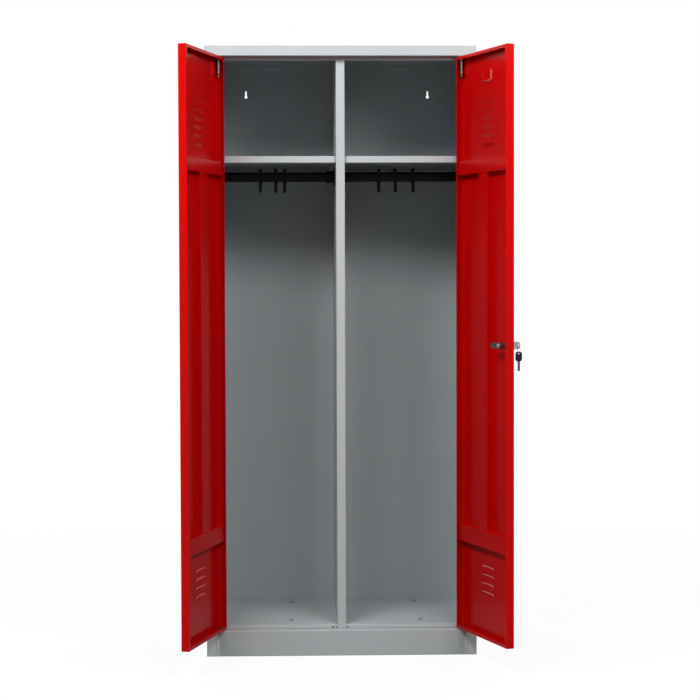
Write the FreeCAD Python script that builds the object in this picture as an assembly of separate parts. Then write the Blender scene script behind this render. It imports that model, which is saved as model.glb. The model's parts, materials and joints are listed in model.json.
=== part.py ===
import FreeCAD, Part
import math
import os

# Two-door steel locker, in millimetres and degrees.
# X runs to the right, Y towards the back and Z up. The origin is on the floor, under the middle of the
# plinth's bottom flange. Depths are measured back from the front plane of the carcass.
# Doors are folded up closed and then swung to the open pose in which the locker stands at rest.

Vector = FreeCAD.Vector

# Carcass
WIDTH = 800.0
DEPTH = 500.0
HEIGHT = 1800.0
SHEET = 0.8
BEND = 1.2
STILE_WIDTH = 28.0
STILE_LIP = 12.0
FASCIA_HEIGHT = 30.0
STOP_HEIGHT = 11.0
TOP_FLANGE = 12.0
REBATE_DEPTH = 28.0
REAR_FLANGE = 40.0
EDGE_FLANGE = 20.0
PLINTH_HEIGHT = 76.0
PLINTH_FLANGE = 20.0
SILL_DEPTH = 45.0
SILL_FLANGE = 14.0
FLOOR_STEP = 12.0
FLOOR_FOOT = 12.0
FLOOR_FLANGE = 18.0

# Anchor holes in the floor, one front and one rear in each compartment
ANCHOR_HOLE = 9.0
ANCHOR_FRONT = 101.0
ANCHOR_SPACING = 323.0
ANCHOR_LEFT = -149.5
ANCHOR_PITCH = 388.5

# Small holes in the step at the floor's front edge, beside the post
STEP_HOLE = 5.0
STEP_HOLE_RISE = 4.6
STEP_HOLES = (-26.5, -13.5, 17.0)

# Back panel: keyholes for wall hooks and louvres under the top
KEYHOLE_SPACING = 578.0
KEYHOLE_DROP = 105.5
KEYHOLE_ROUND = 9.5
KEYHOLE_SLOT = 5.0
KEYHOLE_LIFT = 16.0
BACK_LOUVRE_WIDTH = 52.0
BACK_LOUVRE_DROP = 25.0
BACK_LOUVRE_GAP = 28.0
BACK_LOUVRE_OFFSET = 246.0

# Centre partition, folded at the front to a hollow post
POST_WIDTH = 26.0
POST_DEPTH = 45.0
POST_LIP = 12.0
PARTITION_FLANGE = 24.0

# Hat shelves
HAT_SPACE = 321.0
SHELF_FLANGE = 20.0
SHELF_SETBACK = 40.0
SHELF_LIP = 12.0
SHELF_CLEARANCE = 0.6

# Coat rails, their end brackets and the rivets that hold the brackets
RAIL_WIDTH = 15.0
RAIL_HEIGHT = 30.0
RAIL_WALL = 1.5
RAIL_DROP = 51.0
RAIL_DEPTH = 250.0
RAIL_FIT = 0.2
BRACKET_PLATE = 3.0
BRACKET_REACH = 26.0
BRACKET_WALL = 3.0
BRACKET_WIDTH = 28.0
BRACKET_HEIGHT = 54.0
RIVET_SHANK = 3.2
RIVET_HEAD = 6.4
RIVET_CROWN = 3.4
RIVET_RISE = 1.2
RIVET_RIM = 0.5
RIVET_SPACING = 46.0

# Sliding coat hooks, pushed to uneven places along their rails
LEFT_HOOKS = (-240.0, -193.0, -166.0)
RIGHT_HOOKS = (122.0, 173.0, 227.0)
HOOK_WIDTH = 9.0
HOOK_WALL = 4.0
HOOK_CROWN = 10.0
HOOK_RUN = 0.3
HOOK_STEM = 15.0
HOOK_RADIUS = 11.0
HOOK_STOCK = 6.0
HOOK_TIP = 9.0

# Doors
DOOR_GAP = 3.0
DOOR_THICKNESS = 24.0
DOOR_LIP = 10.0
MITRE_GAP = 1.2
LEFT_OPEN_ANGLE = 104.5
RIGHT_OPEN_ANGLE = 107.7
PIVOT_INSET = 11.0
PIVOT_DEPTH = 9.0

# Door stiffening: two rails across the door and an upright between them
BRACE_DEPTH = 19.0
UPPER_BRACE_DROP = 306.0
UPPER_BRACE_HEIGHT = 42.0
LOWER_BRACE_RISE = 261.5
LOWER_BRACE_HEIGHT = 49.0
UPRIGHT_WIDTH = 60.0
UPRIGHT_DEPTH = 17.0

# Louvres in the doors
LOUVRE_WIDTH = 86.0
LOUVRE_HEIGHT = 12.0
LOUVRE_RISE = 4.5
LOUVRE_EDGE = 1.2
LOUVRE_TAPER = 4.0
LOUVRE_PITCH = 25.0
UPPER_LOUVRES = 6
UPPER_LOUVRE_DROP = 149.5
LOWER_LOUVRES = 4
LOWER_LOUVRE_RISE = 122.0

# Label pocket in the right door, a raised bead open at the top
POCKET_WIDTH = 58.0
POCKET_HEIGHT = 32.0
POCKET_DROP = 55.0
POCKET_BEAD = 3.0
POCKET_RISE = 1.4

# Pivots: sprung pin at the top of each door, fixed pin and bush at the bottom
PIN_DIAMETER = 8.0
PIN_RUN = 0.1
PIN_GUIDE = 0.3
PIN_ENTRY = 6.0
PIN_TAIL = 6.0
PIN_COLLAR = 12.4
PIN_COLLAR_HEIGHT = 3.0
BUSH_WALL = 1.6
BUSH_FLANGE = 2.4
BUSH_FLANGE_HEIGHT = 1.0
BUSH_LENGTH = 5.0
LOWER_PIN_HEIGHT = 6.0
BRACKET_DROP = 52.0
BRACKET_SHEET = 1.5
BRACKET_LEG = 22.0
SPRING_WIRE = 1.2
SPRING_DIAMETER = 10.6
SPRING_TURNS = 6
SPRING_SEAT = 0.25
SPRING_SAMPLES = 24
WIRE_SIDES = 8

# Cam lock, keys and ring
LOCK_HEIGHT = 928.0
LOCK_INSET = 40.0
LOCK_BODY = 18.0
LOCK_FIT = 0.15
LOCK_BEZEL = 21.0
LOCK_BEZEL_RISE = 2.5
LOCK_NUT = 24.0
LOCK_NUT_HEIGHT = 5.0
PLUG_DIAMETER = 12.0
PLUG_RUN = 0.1
PLUG_TENON = 7.0
CAM_BEHIND = 2.2
CAM_SHEET = 2.0
CAM_WIDTH = 16.0
CAM_LENGTH = 50.0
CAM_REST = 0.3
CAM_CLEARANCE = 2.0
CAM_SCREW = 4.0
CAM_SCREW_HEAD = 9.0
CAM_SCREW_HEAD_HEIGHT = 2.4
CAM_SCREW_LENGTH = 10.0
KEY_SHEET = 2.0
KEY_FIT = 0.1
KEY_BLADE = 8.0
KEY_ENTRY = 20.0
KEY_SHOULDER = 3.5
KEY_BOW_LENGTH = 30.0
KEY_BOW_HEIGHT = 21.0
KEY_HOLE = 5.0
KEY_HOLE_REACH = 25.5
RING_DIAMETER = 20.0
RING_WIRE = 1.6
RING_REST = 0.3
SPARE_BOW_WIDTH = 19.0
SPARE_BOW_HEIGHT = 28.0
SPARE_BOW_THICKNESS = 4.0
SPARE_BOW_EDGE = 3.0
SPARE_BLADE = 7.0
SPARE_BLADE_LENGTH = 28.0
SPARE_BLADE_ROOT = 8.0
SPARE_CUTS = 4
SPARE_CUT_START = 5.0
SPARE_CUT_PITCH = 4.0
SPARE_CUT_DEPTH = 0.9

# Places that follow from the driving dimensions
FRONT = -PLINTH_FLANGE / 2
HALF = WIDTH / 2
WALL = HALF - SHEET
FOLD = BEND + SHEET
OPENING = HALF - STILE_WIDTH
REAR = DEPTH - SHEET
REAR_INSIDE = REAR - SHEET
FASCIA_BOTTOM = HEIGHT - FASCIA_HEIGHT
STOP_BOTTOM = FASCIA_BOTTOM - STOP_HEIGHT
FLOOR = PLINTH_HEIGHT + FLOOR_STEP
POST = POST_WIDTH / 2
PARTITION_RIGHT = SHEET - POST
SHELF = HEIGHT - HAT_SPACE
RAIL_LEVEL = SHELF - RAIL_DROP
HINGE_EDGE = HALF - STILE_WIDTH - DOOR_GAP
FREE_EDGE = DOOR_GAP / 2
DOOR_CENTRE = (HINGE_EDGE + FREE_EDGE) / 2
DOOR_BOTTOM = PLINTH_HEIGHT + DOOR_GAP
DOOR_TOP = FASCIA_BOTTOM - DOOR_GAP
AXIS = HINGE_EDGE - PIVOT_INSET
PIN_RADIUS = PIN_DIAMETER / 2
PIN_BORE = PIN_RADIUS + PIN_RUN
BUSH_RADIUS = PIN_BORE + BUSH_WALL
BRACKET_LEVEL = DOOR_TOP - BRACKET_DROP
UPPER_BRACE_TOP = DOOR_TOP - UPPER_BRACE_DROP
LOWER_BRACE_BOTTOM = DOOR_BOTTOM + LOWER_BRACE_RISE
LOCK_X = FREE_EDGE + LOCK_INSET
CAM_FACE = REBATE_DEPTH + SHEET + CAM_BEHIND
KEY_HOLE_DEPTH = -LOCK_BEZEL_RISE - KEY_SHOULDER - KEY_HOLE_REACH
RING_TOP = LOCK_HEIGHT - KEY_HOLE / 2 + RING_WIRE / 2 + RING_REST
RING_BOTTOM = RING_TOP - RING_DIAMETER
SPARE_HOLE = RING_BOTTOM - KEY_HOLE / 2 + RING_WIRE / 2 + RING_REST
SPARE_TOP = SPARE_HOLE + KEY_HOLE / 2 + SPARE_BOW_EDGE


def point(x, depth, z):
    """Point given by its depth behind the front plane."""
    return Vector(x, FRONT + depth, z)


def block(x0, x1, depth0, depth1, z0, z1):
    """Box between two limits on each axis."""
    return Part.makeBox(x1 - x0, depth1 - depth0, z1 - z0, point(x0, depth0, z0))


def upright_rod(x, depth, z0, z1, radius):
    """Cylinder standing between two heights."""
    return Part.makeCylinder(radius, z1 - z0, point(x, depth, z0), Vector(0, 0, 1))


def level_rod(x, z, depth0, depth1, radius):
    """Cylinder running back between two depths."""
    return Part.makeCylinder(radius, depth1 - depth0, point(x, depth0, z), Vector(0, 1, 0))


def mirrored(shape):
    """The same piece for the other side of the locker."""
    return shape.mirror(Vector(0, 0, 0), Vector(1, 0, 0))


def corner_arc(before, corner, after, reach):
    """Arc that leaves the first run and joins the second at the same reach from their corner."""
    back = (before - corner).normalize()
    ahead = (after - corner).normalize()
    half_angle = back.getAngle(ahead) / 2
    radius = reach * math.tan(half_angle)
    inward = (back + ahead).normalize()
    middle = corner + inward * (radius / math.sin(half_angle) - radius)
    return Part.Arc(corner + back * reach, middle, corner + ahead * reach).toShape()


def rounded_path(path, radii):
    """Edges along a path whose corners are rounded by the given radii."""
    edges = []
    start = path[0]
    for before, corner, after, radius in zip(path, path[1:], path[2:], radii):
        half_angle = (before - corner).getAngle(after - corner) / 2
        reach = radius / math.tan(half_angle)
        arc = corner_arc(before, corner, after, reach)
        edges.append(Part.makeLine(start, arc.Vertexes[0].Point))
        edges.append(arc)
        start = arc.Vertexes[-1].Point
    edges.append(Part.makeLine(start, path[-1]))
    return edges


def folded_section(points, thickness):
    """Section of a folded strip. The points follow its outer face, and the sheet lies to their left."""
    outer = [Vector(u, v, 0) for u, v in points]
    runs = [(end - start).normalize() for start, end in zip(outer, outer[1:])]
    lefts = [Vector(-run.y, run.x, 0) for run in runs]
    inner = [outer[0] + lefts[0] * thickness]
    outer_radii = []
    inner_radii = []
    for corner, first, second, run, next_run in zip(outer[1:], lefts, lefts[1:], runs, runs[1:]):
        shift = (first + second) * (thickness / (1 + first.dot(second)))
        inner.append(corner + shift)
        turns_left = run.cross(next_run).z > 0
        outer_radii.append(BEND + thickness if turns_left else BEND)
        inner_radii.append(BEND if turns_left else BEND + thickness)
    inner.append(outer[-1] + lefts[-1] * thickness)
    edges = rounded_path(outer, outer_radii) + rounded_path(inner, inner_radii)
    edges.append(Part.makeLine(outer[0], inner[0]))
    edges.append(Part.makeLine(outer[-1], inner[-1]))
    return Part.Face(Part.Wire(Part.__sortEdges__(edges)))


def strip_up(points, bottom, top, thickness=SHEET):
    """Folded strip with its section in plan, as X and depth, standing between two heights."""
    strip = folded_section(points, thickness).extrude(Vector(0, 0, top - bottom))
    strip.translate(point(0, 0, bottom))
    return strip


def strip_across(points, left, right, thickness=SHEET):
    """Folded strip with its section seen from the side, as depth and Z, running from left to right."""
    strip = folded_section(points, thickness).extrude(Vector(0, 0, right - left))
    turn = FreeCAD.Rotation(Vector(0, 1, 0), Vector(0, 0, 1), Vector(1, 0, 0), "ZXY")
    return strip.transformed(FreeCAD.Placement(point(left, 0, 0), turn).toMatrix())


def strip_back(points, front, rear, thickness=SHEET):
    """Folded strip with its section seen from the front, as X and Z, running between two depths."""
    strip = folded_section(points, thickness).extrude(Vector(0, 0, rear - front))
    turn = FreeCAD.Rotation(Vector(1, 0, 0), Vector(0, 0, 1), Vector(0, -1, 0), "ZXY")
    return strip.transformed(FreeCAD.Placement(point(0, rear, 0), turn).toMatrix())


def rounded_block(x0, x1, depth0, depth1, z0, z1, radius):
    """Box with every edge rounded."""
    body = block(x0, x1, depth0, depth1, z0, z1)
    return body.makeFillet(radius, body.Edges)


def folded_box(x0, x1, depth0, depth1, z0, z1):
    """Closed box of folded sheet, to be opened by a window that leaves return lips."""
    outside = rounded_block(x0, x1, depth0, depth1, z0, z1, FOLD)
    inside = rounded_block(
        x0 + SHEET, x1 - SHEET, depth0 + SHEET, depth1 - SHEET, z0 + SHEET, z1 - SHEET, BEND
    )
    return outside.cut(inside)


def slot_face(width, height):
    """Upright slot shape with round ends, about the origin, in X and Y."""
    radius = width / 2
    straight = height / 2 - radius
    right = Part.makeLine(Vector(radius, -straight, 0), Vector(radius, straight, 0))
    top = Part.Arc(Vector(radius, straight, 0), Vector(0, height / 2, 0), Vector(-radius, straight, 0))
    left = Part.makeLine(Vector(-radius, straight, 0), Vector(-radius, -straight, 0))
    foot = Part.Arc(Vector(-radius, -straight, 0), Vector(0, -height / 2, 0), Vector(radius, -straight, 0))
    return Part.Face(Part.Wire([right, top.toShape(), left, foot.toShape()]))


def slot_bar(width, height, x0, x1, z):
    """Bar of slot-shaped section along X, at the depth of the coat rails."""
    bar = slot_face(width, height).extrude(Vector(0, 0, x1 - x0))
    turn = FreeCAD.Rotation(Vector(0, 1, 0), Vector(0, 0, 1), Vector(1, 0, 0), "ZXY")
    return bar.transformed(FreeCAD.Placement(point(x0, RAIL_DEPTH, z), turn).toMatrix())


def hood(x, face, z, opens_up, width, inset):
    """Louvre hood pressed forward from a sheet, or with a wall's inset, the hollow inside it."""
    half = width / 2 - inset
    tip = half - LOUVRE_TAPER
    nose = FRONT + face - LOUVRE_RISE + inset
    rear = FRONT + face + SHEET
    edge = z + LOUVRE_EDGE - inset
    crown = z + LOUVRE_HEIGHT - inset
    shape = Part.makeWedge(x - tip, nose, z, z, x - half, x + tip, rear, edge, crown, x + half)
    if opens_up:
        shape = shape.mirror(Vector(x, nose, z + LOUVRE_HEIGHT / 2), Vector(0, 0, 1))
    return shape


def with_louvres(sheet, places, face, width):
    """Press louvres out of a sheet at the given X and Z, each open at its bottom or at its top."""
    hoods = [hood(x, face, z, opens_up, width, 0) for x, z, opens_up in places]
    hollows = [hood(x, face, z, opens_up, width, SHEET) for x, z, opens_up in places]
    return sheet.fuse(hoods).cut(hollows)


def top_panel():
    """Top sheet folded down to the fascia, back under it and down again as the door stop."""
    profile = [
        (REAR, HEIGHT - TOP_FLANGE),
        (REAR, HEIGHT),
        (0, HEIGHT),
        (0, FASCIA_BOTTOM),
        (REBATE_DEPTH, FASCIA_BOTTOM),
        (REBATE_DEPTH, STOP_BOTTOM),
    ]
    panel = strip_across(profile, -HALF, HALF)
    below = HEIGHT - SHEET
    ends = [block(side, side + SHEET, SHEET, DEPTH, 0, below) for side in (-HALF, WALL)]
    level = (FASCIA_BOTTOM, FASCIA_BOTTOM + FOLD)
    holes = [upright_rod(side * AXIS, PIVOT_DEPTH, *level, BUSH_RADIUS) for side in (-1, 1)]
    return panel.cut(ends + holes)


def side_panel(top):
    """Left side: front stile, wall and rear flange in one sheet, with flanges at its top and bottom."""
    profile = [
        (REAR_FLANGE - HALF, REAR),
        (-HALF, REAR),
        (-HALF, 0),
        (-OPENING, 0),
        (-OPENING, REBATE_DEPTH),
        (-OPENING - STILE_LIP, REBATE_DEPTH),
    ]
    panel = strip_up(profile, 0, HEIGHT)
    flange_front = REBATE_DEPTH + FOLD
    flange_rear = REAR_INSIDE - FOLD
    upper = HEIGHT - SHEET
    edges = [
        block(-HALF, -HALF + FOLD, flange_front, flange_rear, 0, EDGE_FLANGE),
        block(-HALF, -HALF + FOLD, flange_front, flange_rear, upper - EDGE_FLANGE, HEIGHT),
        block(-HALF, -OPENING + SHEET, 0, SHEET, FASCIA_BOTTOM, HEIGHT),
        block(-WALL, -OPENING + SHEET, 0, REBATE_DEPTH + SHEET, FASCIA_BOTTOM, HEIGHT),
        block(-WALL, REAR_FLANGE - HALF, REAR_INSIDE - BEND, REAR, HEIGHT - TOP_FLANGE, HEIGHT),
        block(-HALF, -OPENING, 0, DEPTH, upper, HEIGHT),
    ]
    lower_fold = [(-HALF, EDGE_FLANGE), (-HALF, 0), (EDGE_FLANGE - HALF, 0)]
    upper_fold = [(EDGE_FLANGE - HALF, upper), (-HALF, upper), (-HALF, upper - EDGE_FLANGE)]
    folds = [strip_back(fold, flange_front, flange_rear) for fold in (lower_fold, upper_fold)]
    holes = [rivet_hole(-HALF, -WALL, z) for z in rivet_levels()]
    return panel.cut(edges).fuse(folds).cut([top] + holes).removeSplitter()


def back_panel():
    """Back sheet behind all flanges, with keyholes to hang it from a wall and louvres at the top."""
    panel = block(-HALF, HALF, REAR, DEPTH, 0, HEIGHT - FOLD)
    cuts = []
    level = HEIGHT - KEYHOLE_DROP
    for side in (-1, 1):
        x = side * KEYHOLE_SPACING / 2
        cuts.append(level_rod(x, level, REAR, DEPTH, KEYHOLE_ROUND / 2))
        cuts.append(level_rod(x, level + KEYHOLE_LIFT, REAR, DEPTH, KEYHOLE_SLOT / 2))
        half = KEYHOLE_SLOT / 2
        cuts.append(block(x - half, x + half, REAR, DEPTH, level, level + KEYHOLE_LIFT))
    step = (BACK_LOUVRE_WIDTH + BACK_LOUVRE_GAP) / 2
    centres = [side * BACK_LOUVRE_OFFSET + shift for side in (-1, 1) for shift in (-step, step)]
    places = [(x, HEIGHT - BACK_LOUVRE_DROP, True) for x in centres]
    return with_louvres(panel.cut(cuts), places, REAR, BACK_LOUVRE_WIDTH)


def plinth():
    """Plinth between the stiles: bottom flange, face, sill under the doors and a stiffening edge."""
    profile = [
        (SILL_DEPTH, PLINTH_HEIGHT - SILL_FLANGE),
        (SILL_DEPTH, PLINTH_HEIGHT),
        (0, PLINTH_HEIGHT),
        (0, 0),
        (PLINTH_FLANGE, 0),
    ]
    return strip_across(profile, -OPENING, OPENING)


def anchor_places():
    """X and depth of the anchor holes in the floor."""
    across = (ANCHOR_LEFT, ANCHOR_LEFT + ANCHOR_PITCH)
    depths = (ANCHOR_FRONT, ANCHOR_FRONT + ANCHOR_SPACING)
    return [(x, depth) for x in across for depth in depths]


def floor_panel():
    """Floor tray: its front edge steps down to the sill and its other edges fold down at the walls."""
    profile = [
        (REAR_INSIDE, FLOOR - FLOOR_FLANGE),
        (REAR_INSIDE, FLOOR),
        (REBATE_DEPTH, FLOOR),
        (REBATE_DEPTH, PLINTH_HEIGHT),
        (REBATE_DEPTH + FLOOR_FOOT, PLINTH_HEIGHT),
    ]
    inner = WALL - FLOOR_FLANGE
    panel = strip_across(profile, -inner, inner)
    edge = [(-inner, FLOOR), (-WALL, FLOOR), (-WALL, FLOOR - FLOOR_FLANGE)]
    side = strip_back(edge, REBATE_DEPTH, REAR_INSIDE - BEND)
    anchors = [upright_rod(x, depth, FLOOR - SHEET, FLOOR, ANCHOR_HOLE / 2) for x, depth in anchor_places()]
    level = PLINTH_HEIGHT + STEP_HOLE_RISE
    step = (REBATE_DEPTH, REBATE_DEPTH + SHEET)
    holes = [level_rod(x, level, *step, STEP_HOLE / 2) for x in STEP_HOLES]
    return panel.fuse([side, mirrored(side)]).cut(anchors + holes).removeSplitter()


def partition():
    """Partition sheet: rear flange, wall, and a hollow front post with a slot for the lock's cam."""
    profile = [
        (PARTITION_FLANGE - POST, REAR),
        (-POST, REAR),
        (-POST, REBATE_DEPTH),
        (POST, REBATE_DEPTH),
        (POST, REBATE_DEPTH + POST_DEPTH),
        (POST - POST_LIP, REBATE_DEPTH + POST_DEPTH),
    ]
    panel = strip_up(profile, FLOOR, HEIGHT - SHEET)
    half_width = CAM_WIDTH / 2 + CAM_CLEARANCE
    reach = math.hypot(CAM_LENGTH, CAM_WIDTH / 2)
    drop = math.sqrt(reach**2 - (LOCK_X - POST) ** 2) + CAM_CLEARANCE
    cam_rear = CAM_FACE + CAM_SHEET
    cuts = [
        block(-POST, POST, REBATE_DEPTH, REBATE_DEPTH + SHEET, STOP_BOTTOM, HEIGHT),
        block(-POST, PARTITION_FLANGE, REAR_INSIDE - BEND, REAR, HEIGHT - TOP_FLANGE, HEIGHT),
        block(
            PARTITION_RIGHT,
            POST,
            CAM_FACE - CAM_CLEARANCE / 2,
            cam_rear + CAM_CLEARANCE,
            LOCK_HEIGHT - drop,
            LOCK_HEIGHT + half_width,
        ),
    ]
    holes = [rivet_hole(-POST, PARTITION_RIGHT, z) for z in rivet_levels()]
    return panel.cut(cuts + holes)


def hat_shelf(left, right):
    """Shelf tray with flanges turned down all round and a return lip on each."""
    bottom = SHELF - SHELF_FLANGE
    tray = folded_box(left, right, SHELF_SETBACK, REAR_INSIDE, bottom, SHELF)
    window = block(
        left + SHELF_LIP, right - SHELF_LIP, SHELF_SETBACK + SHELF_LIP, REAR_INSIDE - SHELF_LIP,
        bottom, bottom + SHEET
    )
    return tray.cut(window)


def right_hat_shelf():
    """Right shelf, notched round the partition's post."""
    shelf = hat_shelf(PARTITION_RIGHT, WALL)
    notch = block(
        PARTITION_RIGHT, POST + SHELF_CLEARANCE, 0, REBATE_DEPTH + POST_DEPTH + SHELF_CLEARANCE,
        SHELF - SHELF_FLANGE, SHELF
    )
    return shelf.cut(notch)


def rivet_levels():
    """Heights of the two rivets in each rail bracket."""
    return (RAIL_LEVEL - RIVET_SPACING / 2, RAIL_LEVEL + RIVET_SPACING / 2)


def rivet_hole(x0, x1, z):
    """Rivet hole through a sheet or plate between two X limits."""
    return Part.makeCylinder(RIVET_SHANK / 2, x1 - x0, point(x0, RAIL_DEPTH, z), Vector(1, 0, 0))


def rivet(x0, x1, z):
    """Rivet with a flat-crowned head at each end of the stack that it holds together."""
    tip = x0 - RIVET_RISE
    head = RIVET_HEAD / 2
    first = [(tip, 0), (tip, RIVET_CROWN / 2), (x0 - RIVET_RIM, head), (x0, head), (x0, RIVET_SHANK / 2)]
    second = [(x0 + x1 - x, radius) for x, radius in reversed(first)]
    corners = [point(x, RAIL_DEPTH, z + radius) for x, radius in first + second + first[:1]]
    return Part.Face(Part.makePolygon(corners)).revolve(corners[0], Vector(1, 0, 0), 360)


def rail_bracket(face, way):
    """Cup on a wall at the given X, opening in the given direction, that holds one end of a coat rail."""
    plate_end = face + way * BRACKET_PLATE
    cup_end = face + way * BRACKET_REACH
    plate = slot_bar(BRACKET_WIDTH, BRACKET_HEIGHT, min(face, plate_end), max(face, plate_end), RAIL_LEVEL)
    cup_size = (RAIL_WIDTH + 2 * (RAIL_FIT + BRACKET_WALL), RAIL_HEIGHT + 2 * (RAIL_FIT + BRACKET_WALL))
    cup = slot_bar(*cup_size, min(face, cup_end), max(face, cup_end), RAIL_LEVEL)
    socket_size = (RAIL_WIDTH + 2 * RAIL_FIT, RAIL_HEIGHT + 2 * RAIL_FIT)
    socket = slot_bar(*socket_size, min(plate_end, cup_end), max(plate_end, cup_end), RAIL_LEVEL)
    holes = [rivet_hole(min(face, plate_end), max(face, plate_end), z) for z in rivet_levels()]
    return plate.fuse(cup).cut([socket] + holes).removeSplitter()


def coat_rail(left, right):
    """Slot-shaped tube between the plates of two brackets."""
    ends = (left + BRACKET_PLATE, right - BRACKET_PLATE)
    outside = slot_bar(RAIL_WIDTH, RAIL_HEIGHT, *ends, RAIL_LEVEL)
    inside = slot_bar(RAIL_WIDTH - 2 * RAIL_WALL, RAIL_HEIGHT - 2 * RAIL_WALL, *ends, RAIL_LEVEL)
    return outside.cut(inside)


def rail_rivets():
    """Rivets of the rail brackets: those in the partition hold the brackets on both of its sides."""
    stacks = (
        (-HALF, BRACKET_PLATE - WALL),
        (-POST - BRACKET_PLATE, PARTITION_RIGHT + BRACKET_PLATE),
        (WALL - BRACKET_PLATE, HALF),
    )
    return Part.makeCompound([rivet(x0, x1, z) for x0, x1 in stacks for z in rivet_levels()])


def coat_hook(x):
    """Hook that slides on a rail: a closed eye over the tube, a stem, and a hook turned to the front."""
    x0 = x - HOOK_WIDTH / 2
    x1 = x + HOOK_WIDTH / 2
    bore = (RAIL_WIDTH + 2 * HOOK_RUN, RAIL_HEIGHT + 2 * HOOK_RUN)
    eye_height = bore[1] + HOOK_WALL + HOOK_CROWN
    eye_level = RAIL_LEVEL + (HOOK_CROWN - HOOK_WALL) / 2
    eye = slot_bar(bore[0] + 2 * HOOK_WALL, eye_height, x0, x1, eye_level)
    eye_bottom = RAIL_LEVEL - bore[1] / 2 - HOOK_WALL
    elbow = eye_bottom - HOOK_STEM
    half = HOOK_STOCK / 2
    stem = block(x0, x1, RAIL_DEPTH - half, RAIL_DEPTH + half, elbow, eye_bottom + HOOK_WALL)
    centre = point(x0, RAIL_DEPTH - HOOK_RADIUS, elbow)
    ring = Part.makeCylinder(HOOK_RADIUS + half, HOOK_WIDTH, centre, Vector(1, 0, 0))
    hollow = Part.makeCylinder(HOOK_RADIUS - half, HOOK_WIDTH, centre, Vector(1, 0, 0))
    above = block(x0, x1, RAIL_DEPTH - 3 * HOOK_RADIUS, RAIL_DEPTH + half, elbow, elbow + 2 * HOOK_RADIUS)
    tip_depth = RAIL_DEPTH - 2 * HOOK_RADIUS
    tip = block(x0, x1, tip_depth - half, tip_depth + half, elbow, elbow + HOOK_TIP)
    tip_end = Part.makeCylinder(half, HOOK_WIDTH, point(x0, tip_depth, elbow + HOOK_TIP), Vector(1, 0, 0))
    hook = eye.fuse([stem, ring.cut([hollow, above]), tip, tip_end]).removeSplitter()
    return hook.cut(slot_bar(*bore, x0, x1, RAIL_LEVEL))


def upper_bush():
    """Left top bush, held in the sheet under the fascia, with its flange below."""
    top = FASCIA_BOTTOM + BUSH_LENGTH
    flange_bottom = FASCIA_BOTTOM - BUSH_FLANGE_HEIGHT
    sleeve = upright_rod(-AXIS, PIVOT_DEPTH, FASCIA_BOTTOM, top, BUSH_RADIUS)
    flange = upright_rod(-AXIS, PIVOT_DEPTH, flange_bottom, FASCIA_BOTTOM, BUSH_RADIUS + BUSH_FLANGE)
    bore = upright_rod(-AXIS, PIVOT_DEPTH, flange_bottom, top, PIN_BORE)
    return sleeve.fuse(flange).cut(bore).removeSplitter()


def lower_pin():
    """Left bottom pivot, welded to the sill: a shoulder that carries the door and a pin above it."""
    shoulder_top = DOOR_BOTTOM - BUSH_FLANGE_HEIGHT
    pin_top = DOOR_BOTTOM + LOWER_PIN_HEIGHT
    shoulder = upright_rod(-AXIS, PIVOT_DEPTH, PLINTH_HEIGHT, shoulder_top, BUSH_RADIUS + BUSH_FLANGE)
    pin = upright_rod(-AXIS, PIVOT_DEPTH, PLINTH_HEIGHT, pin_top, PIN_RADIUS)
    return shoulder.fuse(pin).removeSplitter()


def lower_bush():
    """Left door's bottom bush, which runs on the lower pin and stands on its shoulder."""
    bottom = DOOR_BOTTOM - BUSH_FLANGE_HEIGHT
    top = DOOR_BOTTOM + BUSH_LENGTH
    sleeve = upright_rod(-AXIS, PIVOT_DEPTH, bottom, top, BUSH_RADIUS)
    flange = upright_rod(-AXIS, PIVOT_DEPTH, bottom, DOOR_BOTTOM, BUSH_RADIUS + BUSH_FLANGE)
    bore = upright_rod(-AXIS, PIVOT_DEPTH, bottom, top, PIN_BORE)
    return sleeve.fuse(flange).cut(bore).removeSplitter()


def louvre_places():
    """X and Z of the left door's louvres: the upper ones open at the bottom, the lower ones at the top."""
    top_row = DOOR_TOP - UPPER_LOUVRE_DROP
    bottom_row = DOOR_BOTTOM + LOWER_LOUVRE_RISE
    upper = [(-DOOR_CENTRE, top_row - row * LOUVRE_PITCH, False) for row in range(UPPER_LOUVRES)]
    lower = [(-DOOR_CENTRE, bottom_row + row * LOUVRE_PITCH, True) for row in range(LOWER_LOUVRES)]
    return upper + lower


def lip_mitre(x, z, across, up):
    """Gap between the mitred ends of two door lips, from a corner of the window out to the folds."""
    run = (DOOR_LIP - FOLD) * math.sqrt(2)
    gap = Part.makeBox(run + MITRE_GAP, SHEET, MITRE_GAP, Vector(-MITRE_GAP, 0, -MITRE_GAP / 2))
    gap.rotate(Vector(0, 0, 0), Vector(0, 1, 0), -math.degrees(math.atan2(up, across)))
    gap.translate(point(x, DOOR_THICKNESS - SHEET, z))
    return gap


def door_panel():
    """Left door: a tray of folded sheet with a lip on each flange, holed for its pivots, and louvred."""
    tray = folded_box(-HINGE_EDGE, -FREE_EDGE, 0, DOOR_THICKNESS, DOOR_BOTTOM, DOOR_TOP)
    sides = {-1: DOOR_LIP - HINGE_EDGE, 1: -DOOR_LIP - FREE_EDGE}
    ends = {-1: DOOR_BOTTOM + DOOR_LIP, 1: DOOR_TOP - DOOR_LIP}
    window = block(sides[-1], sides[1], DOOR_THICKNESS - SHEET, DOOR_THICKNESS, ends[-1], ends[1])
    mitres = [lip_mitre(x, z, across, up) for across, x in sides.items() for up, z in ends.items()]
    top_hole = upright_rod(-AXIS, PIVOT_DEPTH, DOOR_TOP - SHEET, DOOR_TOP, PIN_RADIUS + PIN_GUIDE)
    bottom_hole = upright_rod(-AXIS, PIVOT_DEPTH, DOOR_BOTTOM, DOOR_BOTTOM + SHEET, BUSH_RADIUS)
    tray = tray.cut([window, top_hole, bottom_hole] + mitres)
    return with_louvres(tray, louvre_places(), 0, LOUVRE_WIDTH)


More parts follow.
